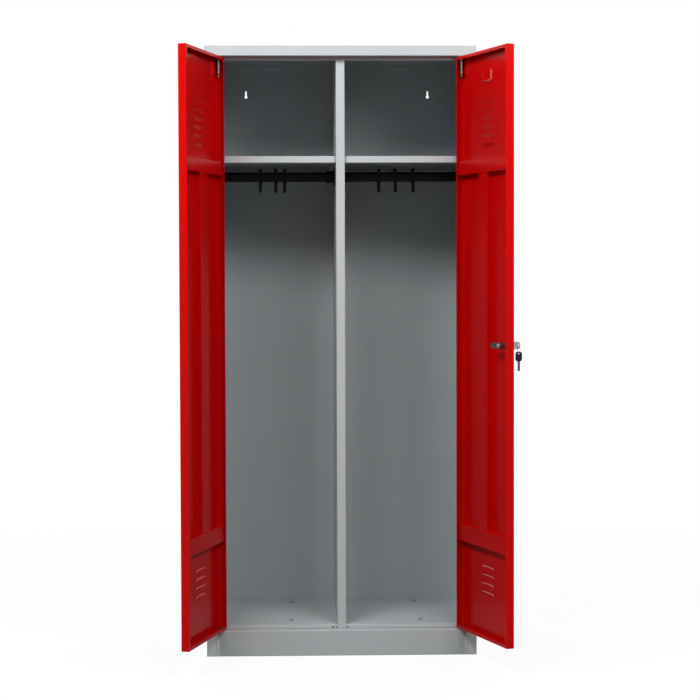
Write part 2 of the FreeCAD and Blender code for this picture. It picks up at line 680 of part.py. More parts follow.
def pocket_bead(depth0, depth1, inset):
    """Bars of the label pocket's bead, or with a wall's inset, of the groove behind it."""
    left = DOOR_CENTRE - POCKET_WIDTH / 2
    right = DOOR_CENTRE + POCKET_WIDTH / 2
    top = DOOR_TOP - POCKET_DROP
    bottom = top - POCKET_HEIGHT
    bars = (
        (left, left + POCKET_BEAD, bottom, top),
        (right - POCKET_BEAD, right, bottom, top),
        (left, right, bottom, bottom + POCKET_BEAD),
    )
    return [
        block(x0 + inset, x1 - inset, depth0, depth1, z0 + inset, z1 - inset) for x0, x1, z0, z1 in bars
    ]


def right_door_panel(left_panel):
    """Right door: the left one mirrored, with a hole for the lock and a label pocket pressed inward."""
    lock_hole = level_rod(LOCK_X, LOCK_HEIGHT, 0, SHEET, LOCK_BODY / 2 + LOCK_FIT)
    bead = pocket_bead(SHEET, SHEET + POCKET_RISE, 0)
    groove = pocket_bead(0, POCKET_RISE, SHEET)
    return mirrored(left_panel).fuse(bead).cut([lock_hole] + groove).removeSplitter()


def door_brace(bottom, top, panel):
    """Channel across the left door, open towards the door's sheet and fitted between its side flanges."""
    profile = [(SHEET, bottom), (BRACE_DEPTH, bottom), (BRACE_DEPTH, top), (SHEET, top)]
    return strip_across(profile, SHEET - HINGE_EDGE, -SHEET - FREE_EDGE).cut(panel)


def door_upright():
    """Upright channel in the middle of the left door, from the lower rail to the upper one."""
    left = -DOOR_CENTRE - UPRIGHT_WIDTH / 2
    right = -DOOR_CENTRE + UPRIGHT_WIDTH / 2
    profile = [(right, SHEET), (right, UPRIGHT_DEPTH), (left, UPRIGHT_DEPTH), (left, SHEET)]
    bottom = LOWER_BRACE_BOTTOM + LOWER_BRACE_HEIGHT
    return strip_up(profile, bottom, UPPER_BRACE_TOP - UPPER_BRACE_HEIGHT)


def pin_bracket():
    """Angle in the left door's top hinge corner that guides the pivot pin and carries its spring."""
    wall = SHEET - HINGE_EDGE
    profile = [
        (wall, BRACKET_LEVEL + BRACKET_LEG),
        (wall, BRACKET_LEVEL),
        (wall + BRACKET_LEG, BRACKET_LEVEL),
    ]
    angle = strip_back(profile, FOLD, PIVOT_DEPTH * 2, BRACKET_SHEET)
    top = BRACKET_LEVEL + BRACKET_SHEET
    hole = upright_rod(-AXIS, PIVOT_DEPTH, BRACKET_LEVEL, top, PIN_RADIUS + PIN_GUIDE)
    return angle.cut(hole)


def pivot_pin():
    """Left top pivot pin with the collar that its spring lifts against the door's top flange."""
    collar_top = DOOR_TOP - SHEET
    tip = FASCIA_BOTTOM + PIN_ENTRY
    pin = upright_rod(-AXIS, PIVOT_DEPTH, BRACKET_LEVEL - PIN_TAIL, tip, PIN_RADIUS)
    collar = upright_rod(-AXIS, PIVOT_DEPTH, collar_top - PIN_COLLAR_HEIGHT, collar_top, PIN_COLLAR / 2)
    return pin.fuse(collar).removeSplitter()


def wire_section(diameter, centre, along, outward):
    """Flat-sided outline of a wire that runs along one direction, with a corner turned outward."""
    side = along.cross(outward).normalize()
    radius = diameter / 2
    turns = [2 * math.pi * step / WIRE_SIDES for step in range(WIRE_SIDES + 1)]
    corners = [outward * (radius * math.cos(turn)) + side * (radius * math.sin(turn)) for turn in turns]
    return Part.makePolygon([centre + corner for corner in corners[:-1] + corners[:1]])


def least_gap(spine):
    """Least gap of a spring's wire to itself, measured between points over half a turn apart."""
    points = spine.discretize(Number=SPRING_TURNS * SPRING_SAMPLES + 1)
    half_turn = SPRING_SAMPLES // 2
    pairs = [(near, far) for index, near in enumerate(points) for far in points[index + half_turn:]]
    return min(near.distanceToPoint(far) for near, far in pairs) - SPRING_WIRE


def pivot_spring():
    """Coil spring round the left pivot pin, as one unbroken wire with two arcs to each half turn."""
    wire = SPRING_WIRE / 2
    bottom = BRACKET_LEVEL + BRACKET_SHEET + SPRING_SEAT + wire
    top = DOOR_TOP - SHEET - PIN_COLLAR_HEIGHT - SPRING_SEAT - wire
    radius = (SPRING_DIAMETER - SPRING_WIRE) / 2
    rise = (top - bottom) / (2 * math.pi * SPRING_TURNS)
    length = math.hypot(radius, rise)

    def on_coil(angle):
        x = -AXIS + radius * math.cos(angle)
        depth = PIVOT_DEPTH + radius * math.sin(angle)
        return point(x, depth, bottom + rise * angle)

    def along_coil(angle):
        return Vector(-radius * math.sin(angle), radius * math.cos(angle), rise) * (1 / length)

    edges = []
    for step in range(2 * SPRING_TURNS):
        start = on_coil(step * math.pi)
        end = on_coil((step + 1) * math.pi)
        leave = along_coil(step * math.pi)
        arrive = along_coil((step + 1) * math.pi)
        across = end - start
        both = leave + arrive
        square = both.dot(both) - 4
        slope = across.dot(both)
        reach = (slope - math.sqrt(slope**2 - square * across.dot(across))) / square
        first = start + leave * reach
        second = end - arrive * reach
        middle = (first + second) * 0.5
        edges.append(corner_arc(start, first, middle, reach))
        edges.append(corner_arc(middle, second, end, reach))
    spine = Part.Wire(edges)
    section = wire_section(SPRING_WIRE, on_coil(0), along_coil(0), Vector(1, 0, 0))
    print(f"pivot spring: least gap to itself {least_gap(spine):.2f} mm")
    return spine.makePipeShell([section], True, False)


def lock_housing():
    """Lock body through the right door, with a bezel outside and a bore for the plug."""
    rear = CAM_FACE - CAM_REST
    body = level_rod(LOCK_X, LOCK_HEIGHT, 0, rear, LOCK_BODY / 2)
    bezel = level_rod(LOCK_X, LOCK_HEIGHT, -LOCK_BEZEL_RISE, 0, LOCK_BEZEL / 2)
    rim = [edge for edge in bezel.Edges if abs(edge.CenterOfMass.y - FRONT + LOCK_BEZEL_RISE) < SHEET / 2]
    bezel = bezel.makeChamfer(LOCK_BEZEL_RISE / 2, [edge for edge in rim if len(edge.Vertexes) == 1])
    bore = level_rod(LOCK_X, LOCK_HEIGHT, -LOCK_BEZEL_RISE, rear, PLUG_DIAMETER / 2 + PLUG_RUN)
    return body.fuse(bezel).cut(bore).removeSplitter()


def lock_nut():
    """Hexagonal nut that clamps the lock against the inside of the door's sheet."""
    radius = LOCK_NUT / math.sqrt(3)
    turns = [math.radians(60 * step) for step in range(7)]
    places = [(LOCK_X + radius * math.cos(turn), LOCK_HEIGHT + radius * math.sin(turn)) for turn in turns]
    corners = [point(x, SHEET, z) for x, z in places]
    prism = Part.Face(Part.makePolygon(corners)).extrude(Vector(0, LOCK_NUT_HEIGHT, 0))
    return prism.cut(level_rod(LOCK_X, LOCK_HEIGHT, SHEET, SHEET + LOCK_NUT_HEIGHT, LOCK_BODY / 2))


def lock_plug():
    """Plug that turns in the housing: keyway in front, square tenon and a tapped hole behind."""
    plug = level_rod(LOCK_X, LOCK_HEIGHT, -LOCK_BEZEL_RISE, CAM_FACE, PLUG_DIAMETER / 2)
    half = PLUG_TENON / 2
    cam_rear = CAM_FACE + CAM_SHEET
    tenon = block(LOCK_X - half, LOCK_X + half, CAM_FACE, cam_rear, LOCK_HEIGHT - half, LOCK_HEIGHT + half)
    thread = level_rod(LOCK_X, LOCK_HEIGHT, cam_rear - CAM_SCREW_LENGTH, cam_rear, CAM_SCREW / 2)
    keyway_half = KEY_SHEET / 2 + KEY_FIT
    keyway_reach = KEY_BLADE / 2 + KEY_FIT
    keyway_end = KEY_ENTRY + KEY_FIT - LOCK_BEZEL_RISE
    keyway = block(
        LOCK_X - keyway_half, LOCK_X + keyway_half, -LOCK_BEZEL_RISE, keyway_end,
        LOCK_HEIGHT - keyway_reach, LOCK_HEIGHT + keyway_reach
    )
    return plug.fuse(tenon).cut([thread, keyway])


def lock_cam():
    """Cam bar on the plug's tenon, pointing to the hinge side, which is the unlocked way."""
    half = CAM_WIDTH / 2
    cam_rear = CAM_FACE + CAM_SHEET
    straight = LOCK_X + CAM_LENGTH - half
    bar = block(LOCK_X, straight, CAM_FACE, cam_rear, LOCK_HEIGHT - half, LOCK_HEIGHT + half)
    ends = [level_rod(x, LOCK_HEIGHT, CAM_FACE, cam_rear, half) for x in (LOCK_X, straight)]
    tenon = PLUG_TENON / 2
    across = (LOCK_X - tenon, LOCK_X + tenon)
    hole = block(*across, CAM_FACE, cam_rear, LOCK_HEIGHT - tenon, LOCK_HEIGHT + tenon)
    return bar.fuse(ends).removeSplitter().cut(hole)


def cam_screw():
    """Cross-recessed screw that holds the cam on the plug."""
    cam_rear = CAM_FACE + CAM_SHEET
    head_rear = cam_rear + CAM_SCREW_HEAD_HEIGHT
    shank = level_rod(LOCK_X, LOCK_HEIGHT, cam_rear - CAM_SCREW_LENGTH, cam_rear, CAM_SCREW / 2)
    head = level_rod(LOCK_X, LOCK_HEIGHT, cam_rear, head_rear, CAM_SCREW_HEAD / 2)
    reach = CAM_SCREW_HEAD / 4
    half = CAM_SCREW_HEAD_HEIGHT / 4
    floor = head_rear - CAM_SCREW_HEAD_HEIGHT / 2
    cross = [
        block(LOCK_X - reach, LOCK_X + reach, floor, head_rear, LOCK_HEIGHT - half, LOCK_HEIGHT + half),
        block(LOCK_X - half, LOCK_X + half, floor, head_rear, LOCK_HEIGHT - reach, LOCK_HEIGHT + reach),
    ]
    return shank.fuse(head).cut(cross)


def key_plate(depth, z, depth_size, z_size, thickness):
    """Rounded plate of a key's bow, standing square to the door, about its centre."""
    plate = block(
        LOCK_X - thickness / 2, LOCK_X + thickness / 2, depth - depth_size / 2, depth + depth_size / 2,
        z - z_size / 2, z + z_size / 2
    )
    thin = [edge for edge in plate.Edges if abs(edge.Length - thickness) < KEY_FIT]
    return plate.makeFillet(min(depth_size, z_size) * 0.4, thin)


def key_eye(depth, z, thickness):
    """Hole through a key's bow for the ring."""
    start = point(LOCK_X - thickness / 2, depth, z)
    return Part.makeCylinder(KEY_HOLE / 2, thickness, start, Vector(1, 0, 0))


def lock_key():
    """Key in the lock: blade in the keyway and a bow outside."""
    half = KEY_SHEET / 2
    bow_rear = -LOCK_BEZEL_RISE - KEY_SHOULDER
    bow = key_plate(bow_rear - KEY_BOW_LENGTH / 2, LOCK_HEIGHT, KEY_BOW_LENGTH, KEY_BOW_HEIGHT, KEY_SHEET)
    blade_half = KEY_BLADE / 2
    blade = block(
        LOCK_X - half, LOCK_X + half, bow_rear - KEY_SHOULDER, KEY_ENTRY - LOCK_BEZEL_RISE,
        LOCK_HEIGHT - blade_half, LOCK_HEIGHT + blade_half
    )
    return bow.fuse(blade).cut(key_eye(KEY_HOLE_DEPTH, LOCK_HEIGHT, KEY_SHEET)).removeSplitter()


def key_ring():
    """Ring through both keys, hanging in the eye of the one in the lock."""
    centre = point(LOCK_X, KEY_HOLE_DEPTH, (RING_TOP + RING_BOTTOM) / 2)
    up = Vector(0, 0, 1)
    section = wire_section(RING_WIRE, centre + up * (RING_DIAMETER / 2), Vector(1, 0, 0), up)
    return Part.Face(section).revolve(centre, Vector(0, 1, 0), 360)


def spare_key_bow():
    """Moulded bow of the spare key, closed round the root of its blade."""
    centre = SPARE_TOP - SPARE_BOW_HEIGHT / 2
    bow = key_plate(KEY_HOLE_DEPTH, centre, SPARE_BOW_WIDTH, SPARE_BOW_HEIGHT, SPARE_BOW_THICKNESS)
    return bow.cut([key_eye(KEY_HOLE_DEPTH, SPARE_HOLE, SPARE_BOW_THICKNESS), spare_key_blade()])


def spare_key_blade():
    """Blade of the spare key: root inside the bow, cuts of two depths along one edge and a pointed tip."""
    bow_bottom = SPARE_TOP - SPARE_BOW_HEIGHT
    top = bow_bottom + SPARE_BLADE_ROOT
    tip = bow_bottom - SPARE_BLADE_LENGTH
    half = SPARE_BLADE / 2
    outline = [(-half, tip + half), (-half, top), (half, top)]
    for cut in range(SPARE_CUTS):
        start = bow_bottom - SPARE_CUT_START - cut * SPARE_CUT_PITCH
        depth = SPARE_CUT_DEPTH * (1 + cut % 2)
        outline += [(half, start), (half - depth, start - SPARE_CUT_PITCH / 2)]
    outline += [(half, start - SPARE_CUT_PITCH), (half, tip + half), (0, tip), (-half, tip + half)]
    corners = [point(LOCK_X - KEY_SHEET / 2, KEY_HOLE_DEPTH + u, z) for u, z in outline]
    return Part.Face(Part.makePolygon(corners)).extrude(Vector(KEY_SHEET, 0, 0))


def swung(shape, side):
    """A piece of the left (-1) or right (1) door, turned with the door to its open rest pose."""
    turned = shape.copy()
    angle = -LEFT_OPEN_ANGLE if side < 0 else RIGHT_OPEN_ANGLE
    turned.rotate(point(side * AXIS, PIVOT_DEPTH, 0), Vector(0, 0, 1), angle)
    return turned


def carcass():
    """Fixed pieces by name."""
    top = top_panel()
    side = side_panel(top)
    bush = upper_bush()
    pin = lower_pin()
    return {
        "top_panel": top,
        "left_side_panel": side,
        "right_side_panel": mirrored(side),
        "back_panel": back_panel(),
        "plinth": plinth(),
        "floor_panel": floor_panel(),
        "partition": partition(),
        "left_hat_shelf": hat_shelf(-WALL, -POST),
        "right_hat_shelf": right_hat_shelf(),
        "left_coat_rail": coat_rail(-WALL, -POST),
        "right_coat_rail": coat_rail(PARTITION_RIGHT, WALL),
        "left_rail_bracket_at_side": rail_bracket(-WALL, 1),
        "left_rail_bracket_at_partition": rail_bracket(-POST, -1),
        "right_rail_bracket_at_partition": rail_bracket(PARTITION_RIGHT, 1),
        "right_rail_bracket_at_side": rail_bracket(WALL, -1),
        "rail_rivets": rail_rivets(),
        "left_upper_bush": bush,
        "right_upper_bush": mirrored(bush),
        "left_lower_pin": pin,
        "right_lower_pin": mirrored(pin),
    }


def hooks():
    """Coat hooks by name, from left to right on each rail."""
    pieces = {}
    for side, places in (("left", LEFT_HOOKS), ("right", RIGHT_HOOKS)):
        for number, x in enumerate(places, 1):
            pieces[f"{side}_hook_{number}"] = coat_hook(x)
    return pieces


def doors():
    """Pieces of both doors by name, in the open rest pose."""
    panel = door_panel()
    upper_brace = door_brace(UPPER_BRACE_TOP - UPPER_BRACE_HEIGHT, UPPER_BRACE_TOP, panel)
    lower_brace = door_brace(LOWER_BRACE_BOTTOM, LOWER_BRACE_BOTTOM + LOWER_BRACE_HEIGHT, panel)
    shared = {
        "door_upper_brace": upper_brace,
        "door_lower_brace": lower_brace,
        "door_upright": door_upright(),
        "door_lower_bush": lower_bush(),
        "pivot_bracket": pin_bracket(),
        "pivot_pin": pivot_pin(),
        "pivot_spring": pivot_spring(),
    }
    pieces = {
        "left_door_panel": swung(panel, -1),
        "right_door_panel": swung(right_door_panel(panel), 1),
    }
    for name, shape in shared.items():
        pieces[f"left_{name}"] = swung(shape, -1)
        pieces[f"right_{name}"] = swung(mirrored(shape), 1)
    return pieces


def lock():
    """Lock, keys and ring by name, swung with the right door."""
    pieces = {
        "lock_housing": lock_housing(),
        "lock_nut": lock_nut(),
        "lock_plug": lock_plug(),
        "lock_cam": lock_cam(),
        "cam_screw": cam_screw(),
        "lock_key": lock_key(),
        "key_ring": key_ring(),
        "spare_key_bow": spare_key_bow(),
        "spare_key_blade": spare_key_blade(),
    }
    return {name: swung(shape, 1) for name, shape in pieces.items()}


os.makedirs("parts", exist_ok=True)
for node, solid in {**carcass(), **hooks(), **doors(), **lock()}.items():
    if not solid.isValid():
        raise ValueError(f"{node} is not a valid solid")
    solid.exportStep(f"parts/{node}.step")
    print(f"{node}: {len(solid.Solids)} solid, {solid.Volume / 1000:.1f} cm3")
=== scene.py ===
"""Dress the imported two-door locker: finishes, small pressed and turned details, and a studio."""

import json
import logging
import math
from dataclasses import dataclass
from enum import Enum

import bmesh
import bpy
from mathutils import Matrix, Vector


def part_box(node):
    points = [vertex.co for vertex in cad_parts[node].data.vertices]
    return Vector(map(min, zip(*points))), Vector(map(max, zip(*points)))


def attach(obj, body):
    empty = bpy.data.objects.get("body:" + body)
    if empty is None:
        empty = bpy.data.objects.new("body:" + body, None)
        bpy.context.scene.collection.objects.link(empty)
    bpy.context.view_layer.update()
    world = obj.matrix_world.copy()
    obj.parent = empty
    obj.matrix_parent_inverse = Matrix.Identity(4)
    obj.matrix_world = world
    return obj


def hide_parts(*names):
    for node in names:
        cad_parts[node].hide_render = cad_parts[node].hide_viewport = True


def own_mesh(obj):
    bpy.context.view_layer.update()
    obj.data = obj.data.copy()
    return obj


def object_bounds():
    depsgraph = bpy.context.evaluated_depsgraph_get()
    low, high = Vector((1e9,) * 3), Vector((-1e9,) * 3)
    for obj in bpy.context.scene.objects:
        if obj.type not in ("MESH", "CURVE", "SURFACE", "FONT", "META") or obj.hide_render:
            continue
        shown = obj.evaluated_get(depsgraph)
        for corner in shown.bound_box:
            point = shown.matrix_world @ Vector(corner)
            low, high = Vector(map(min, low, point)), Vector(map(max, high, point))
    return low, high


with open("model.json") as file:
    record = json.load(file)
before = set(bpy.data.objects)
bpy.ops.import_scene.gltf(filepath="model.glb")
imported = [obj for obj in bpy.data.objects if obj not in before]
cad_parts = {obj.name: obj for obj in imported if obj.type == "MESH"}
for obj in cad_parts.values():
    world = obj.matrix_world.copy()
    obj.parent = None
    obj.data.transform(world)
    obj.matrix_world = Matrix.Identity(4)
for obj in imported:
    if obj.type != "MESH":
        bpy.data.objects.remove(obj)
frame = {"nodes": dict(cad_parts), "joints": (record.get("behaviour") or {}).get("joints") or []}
CAD_BOX = [list(corner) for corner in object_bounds()]

log = logging.getLogger("locker")

Colour = tuple[float, float, float]
Profile = tuple[tuple[float, float], ...]
Ring = list[bmesh.types.BMVert]
Socket = bpy.types.NodeSocket


def joint_named(name: str) -> dict:
    """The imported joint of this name."""
    return next(item for item in frame["joints"] if item["name"] == name)


class Slot(Enum):
    """Material slots of the record."""

    CARCASS = "carcass_paint"
    DOOR = "door_paint"
    TUBE = "black_tube"
    PLASTIC = "black_plastic"
    NYLON = "nylon"
    ZINC = "zinc_steel"
    NICKEL = "nickel"


class Side(Enum):
    """The two doors and compartments, as seen from the front."""

    LEFT = "left"
    RIGHT = "right"

    @property
    def sign(self) -> int:
        """Direction of this side along X."""
        return -1 if self is Side.LEFT else 1


class Shader:
    """Node material that takes shape around one surface shader, in the part's own metres."""

    BEVEL_SAMPLES = 4
    EDGE_DOT = 0.7

    def __init__(self, name: str) -> None:
        """Start the material.

        Args:
            name: Name of the material.
        """
        self.material = bpy.data.materials.new(name)
        self.material.use_nodes = True
        self.nodes = self.material.node_tree.nodes
        self.links = self.material.node_tree.links
        self.surface = self.nodes["Principled BSDF"]
        self.place = self.nodes.new("ShaderNodeTexCoord").outputs["Object"]

    def fix(self, values: dict[str, float]) -> None:
        """Set sockets of the surface shader that are the same all over.

        Args:
            values: Value of each socket by its name.
        """
        for name, value in values.items():
            self.surface.inputs[name].default_value = value

    def feed(self, name: str, source: Socket) -> None:
        """Link a source to a socket of the surface shader."""
        self.links.new(source, self.surface.inputs[name])

    def noise(self, size: float, detail: float, stretch: Colour = (1.0, 1.0, 1.0)) -> Socket:
        """Soft noise over the surface.

        Args:
            size: Size of one fleck in metres.
            detail: Octaves of finer noise.
            stretch: How much longer a fleck is along each axis.

        Returns:
            Socket with the noise, about 0.2 to 0.8.
        """
        mapping = self.nodes.new("ShaderNodeMapping")
        mapping.inputs["Scale"].default_value = [1.0 / factor for factor in stretch]
        self.links.new(self.place, mapping.inputs["Vector"])
        texture = self.nodes.new("ShaderNodeTexNoise")
        texture.inputs["Scale"].default_value = 1.0 / size
        texture.inputs["Detail"].default_value = detail
        self.links.new(mapping.outputs["Vector"], texture.inputs["Vector"])
        return texture.outputs["Fac"]

    def between(
        self, source: Socket, low: float, high: float, start: float = 0.25, end: float = 0.75
    ) -> Socket:
        """Spread a source between two values.

        Args:
            source: Socket to spread.
            low: Value at the start.
            high: Value at the end.
            start: Source that gives the low value.
            end: Source that gives the high value.

        Returns:
            Socket with the spread value.
        """
        spread = self.nodes.new("ShaderNodeMapRange")
        spread.inputs["From Min"].default_value = start
        spread.inputs["From Max"].default_value = end
        spread.inputs["To Min"].default_value = low
        spread.inputs["To Max"].default_value = high
        self.links.new(source, spread.inputs["Value"])
        return spread.outputs["Result"]

    def mix(self, share: Socket, first: Socket | Colour, second: Socket | Colour) -> Socket:
        """Mix two colours.

        Args:
            share: Socket with the share of the second colour.
            first: Colour or socket.
            second: Colour or socket.

        Returns:
            Socket with the mixed colour.
        """
        node = self.nodes.new("ShaderNodeMix")
        node.data_type = "RGBA"
        self.links.new(share, node.inputs["Factor"])
        for name, colour in (("A", first), ("B", second)):
            socket = [item for item in node.inputs if item.name == name and item.type == "RGBA"][0]
            if isinstance(colour, Socket):
                self.links.new(colour, socket)
            else:
                socket.default_value = (*colour, 1.0)
        return [item for item in node.outputs if item.type == "RGBA"][0]

    def eased_edges(self, radius: float) -> tuple[Socket, Socket]:
        """Round the look of sharp edges.

        Args:
            radius: Radius of the rounding in metres.

        Returns:
            Socket with the eased normal, and socket that is above 0 along edges.
        """
        bevel = self.nodes.new("ShaderNodeBevel")
        bevel.samples = self.BEVEL_SAMPLES
        bevel.inputs["Radius"].default_value = radius
        flat = self.nodes.new("ShaderNodeNewGeometry").outputs["Normal"]
        dot = self.nodes.new("ShaderNodeVectorMath")
        dot.operation = "DOT_PRODUCT"
        self.links.new(bevel.outputs["Normal"], dot.inputs[0])
        self.links.new(flat, dot.inputs[1])
        mask = self.between(dot.outputs["Value"], 1.0, 0.0, self.EDGE_DOT, 1.0)
        return bevel.outputs["Normal"], mask

    def relief(self, height: Socket, depth: float, normal: Socket | None = None) -> Socket:
        """Fine relief.

        Args:
            height: Socket with heights.
            depth: Depth of the relief in metres for a height of 1.
            normal: Normal to start from, if not the surface's own.

        Returns:
            Socket with the normal of the relief.
        """
        bump = self.nodes.new("ShaderNodeBump")
        bump.inputs["Distance"].default_value = depth
        self.links.new(height, bump.inputs["Height"])
        if normal is not None:
            self.links.new(normal, bump.inputs["Normal"])
        return bump.outputs["Normal"]


def shade(colour: Colour, factor: float) -> Colour:
    """A colour made lighter or darker by a factor."""
    return tuple(min(1.0, channel * factor) for channel in colour)


@dataclass(frozen=True)
class PowderCoat:
    """Baked powder coat on sheet steel, with orange peel and thin paint along the edges."""

    name: str
    slot: Slot
    colour: Colour
    edge_colour: Colour
    roughness: float
    specular: float
    cloud_size: float = 0.35
    cloud_share: float = 0.035
    peel_size: float = 0.0026
    peel_depth: float = 0.00005
    wave_size: float = 0.28
    wave_depth: float = 0.0008
    edge_radius: float = 0.0006
    grain_ratio: float = 0.25
    grain_share: float = 0.12
    grain_shade: float = 0.82
    rub_size: float = 0.012
    rub_share: float = 0.5
    gloss_spread: float = 0.04

    def material(self) -> bpy.types.Material:
        """Node material of this coat.

        Returns:
            The material.
        """
        shader = Shader(self.name)
        normal, edge = shader.eased_edges(self.edge_radius)
        clouds = shader.noise(self.cloud_size, 3.0)
        dark = shade(self.colour, 1.0 - self.cloud_share)
        light = shade(self.colour, 1.0 + self.cloud_share)
        ground = shader.mix(shader.between(clouds, 0.0, 1.0), dark, light)
        grain = shader.noise(self.peel_size * self.grain_ratio, 1.0)
        speckle = shader.between(grain, 0.0, self.grain_share)
        ground = shader.mix(speckle, ground, shade(self.colour, self.grain_shade))
        rubbed = shader.between(shader.noise(self.rub_size, 3.0), 0.0, self.rub_share, 0.35, 0.65)
        product = shader.nodes.new("ShaderNodeMath")
        product.operation = "MULTIPLY"
        shader.links.new(edge, product.inputs[0])
        shader.links.new(rubbed, product.inputs[1])
        shader.feed("Base Color", shader.mix(product.outputs["Value"], ground, self.edge_colour))
        smooth, dull = self.roughness - self.gloss_spread, self.roughness + self.gloss_spread
        shader.feed("Roughness", shader.between(clouds, smooth, dull))
        waves = shader.relief(shader.noise(self.wave_size, 1.0), self.wave_depth, normal)
        peel = shader.noise(self.peel_size, 1.5)
        shader.feed("Normal", shader.relief(peel, self.peel_depth, waves))
        shader.fix({"Specular IOR Level": self.specular})
        return shader.material


@dataclass(frozen=True)
class MouldedPlastic:
    """Moulded plastic with a fine spark-eroded grain."""

    name: str
    slot: Slot
    colour: Colour
    roughness: float
    specular: float = 0.5
    grain_size: float = 0.0006
    grain_depth: float = 0.00003
    edge_radius: float = 0.0008
    edge_shade: float = 1.9
    flow_size: float = 0.03
    flow_stretch: Colour = (1.0, 1.0, 3.0)
    flow_shades: tuple[float, float] = (0.85, 1.2)
    gloss_spread: float = 0.07

    def material(self) -> bpy.types.Material:
        """Node material of this plastic.

        Returns:
            The material.
        """
        shader = Shader(self.name)
        normal, edge = shader.eased_edges(self.edge_radius)
        flow = shader.between(shader.noise(self.flow_size, 2.0, self.flow_stretch), 0.0, 1.0)
        dark, light = (shade(self.colour, factor) for factor in self.flow_shades)
        ground = shader.mix(flow, dark, light)
        shader.feed("Base Color", shader.mix(edge, ground, shade(self.colour, self.edge_shade)))
        grain = shader.noise(self.grain_size, 2.0)
        smooth, dull = self.roughness - self.gloss_spread, self.roughness + self.gloss_spread
        shader.feed("Roughness", shader.between(grain, smooth, dull))
        shader.feed("Normal", shader.relief(grain, self.grain_depth, normal))
        shader.fix({"Specular IOR Level": self.specular})
        return shader.material


@dataclass(frozen=True)
class PlatedSteel:
    """Plated steel with a clouded plate and fine drawn lines."""

    name: str
    slot: Slot
    colour: Colour
    tarnish: Colour
    roughness: float
    line_size: float = 0.00025
    line_stretch: Colour = (1.0, 1.0, 14.0)
    line_depth: float = 0.000012
    edge_radius: float = 0.0004
    edge_shade: float = 1.25
    cloud_size: float = 0.008
    smoother: float = 0.08
    duller: float = 0.1

    def material(self) -> bpy.types.Material:
        """Node material of this plate.

        Returns:
            The material.
        """
        shader = Shader(self.name)
        normal, edge = shader.eased_edges(self.edge_radius)
        clouds = shader.between(shader.noise(self.cloud_size, 4.0), 0.0, 1.0, 0.35, 0.75)
        ground = shader.mix(clouds, self.colour, self.tarnish)
        shader.feed("Base Color", shader.mix(edge, ground, shade(self.colour, self.edge_shade)))
        lines = shader.noise(self.line_size, 2.0, self.line_stretch)
        smooth, dull = self.roughness - self.smoother, self.roughness + self.duller
        shader.feed("Roughness", shader.between(lines, smooth, dull))
        shader.feed("Normal", shader.relief(lines, self.line_depth, normal))
        shader.fix({"Metallic": 1.0})
        return shader.material


Finish = PowderCoat | MouldedPlastic | PlatedSteel

LIGHT_GREY = PowderCoat(
    "light grey powder coat", Slot.CARCASS, (0.442, 0.482, 0.492), (0.57, 0.605, 0.615), 0.48, 0.15
)
SIGNAL_RED = PowderCoat(
    "red powder coat", Slot.DOOR, (0.56, 0.0018, 0.0022), (0.68, 0.02, 0.018), 0.2, 0.06
)
# Pale red for the painted highlight on the label pocket's bead: painted light, not rubbed paint.
POCKET_HIGHLIGHT_RED = PowderCoat(
    "pale red painted pocket highlight", Slot.DOOR, (0.6, 0.12, 0.1), (0.8, 0.42, 0.38), 0.3, 0.2,
    wave_depth=0.0,
)
# Pale red for the painted highlight lines on the lower louvres: painted light, not a thinner coat.
LOUVRE_HIGHLIGHT_RED = PowderCoat(
    "pale red painted louvre highlight", Slot.DOOR, (0.8, 0.5, 0.46), (0.85, 0.6, 0.56), 0.3, 0.2,
    wave_depth=0.0,
)
TUBE_BLACK = PowderCoat(
    "black coated tube", Slot.TUBE, (0.004, 0.004, 0.0042), (0.015, 0.015, 0.015), 0.34, 0.08,
    peel_size=0.0016, wave_depth=0.0,
)
HOOK_BLACK = MouldedPlastic(
    "black moulded plastic", Slot.PLASTIC, (0.004, 0.004, 0.0042), 0.4, 0.08
)
BOW_BLACK = MouldedPlastic(
    "glossy black plastic", Slot.PLASTIC, (0.006, 0.006, 0.007), 0.22, 0.22
)
PLUG_GREY = MouldedPlastic(
    "grey moulded plastic", Slot.PLASTIC, (0.2, 0.205, 0.21), 0.5, 0.3
)
NATURAL_NYLON = MouldedPlastic(
    "natural nylon", Slot.NYLON, (0.74, 0.72, 0.66), 0.5
)
BLACK_NYLON = MouldedPlastic(
    "black nylon", Slot.NYLON, (0.016, 0.016, 0.017), 0.5, 0.3
)
BRIGHT_ZINC = PlatedSteel(
    "bright zinc plate", Slot.ZINC, (0.6, 0.6, 0.59), (0.44, 0.45, 0.47), 0.34
)
# Zinc made dark as painted shade on the pivot pins, lower pins and springs; a shaded copy of the
# bright zinc.
SHADED_ZINC = PlatedSteel(
    "zinc plate with painted shade", Slot.ZINC, (0.24, 0.235, 0.23), (0.12, 0.12, 0.125), 0.42
)
SATIN_NICKEL = PlatedSteel(
    "satin nickel plate", Slot.NICKEL, (0.64, 0.61, 0.56), (0.5, 0.47, 0.42), 0.24
)
# Darker copy of the satin nickel for the key in the lock: painted shade.
SHADED_KEY_NICKEL = PlatedSteel(
    "key nickel plate with painted shade", Slot.NICKEL, (0.4, 0.375, 0.34), (0.2, 0.185, 0.165), 0.26
)
# Nickel made near black as painted shade and dark reflection on the lock's nut and thread.
SHADED_NICKEL = PlatedSteel(
    "nickel plate with painted shade", Slot.NICKEL, (0.045, 0.045, 0.045), (0.02, 0.02, 0.02), 0.22
)
# Blade steel made near black as painted shade on the spare key's blade.
SHADED_BLADE_STEEL = PlatedSteel(
    "blade steel with painted shade", Slot.ZINC, (0.11, 0.105, 0.095), (0.03, 0.03, 0.03), 0.3
)
# Darker, grey-green copy of the zinc for the cam: painted shade for its dark reflection.
SHADED_CAM_ZINC = PlatedSteel(
    "grey cam zinc with painted shade", Slot.ZINC, (0.36, 0.37, 0.35), (0.24, 0.26, 0.24), 0.3
)


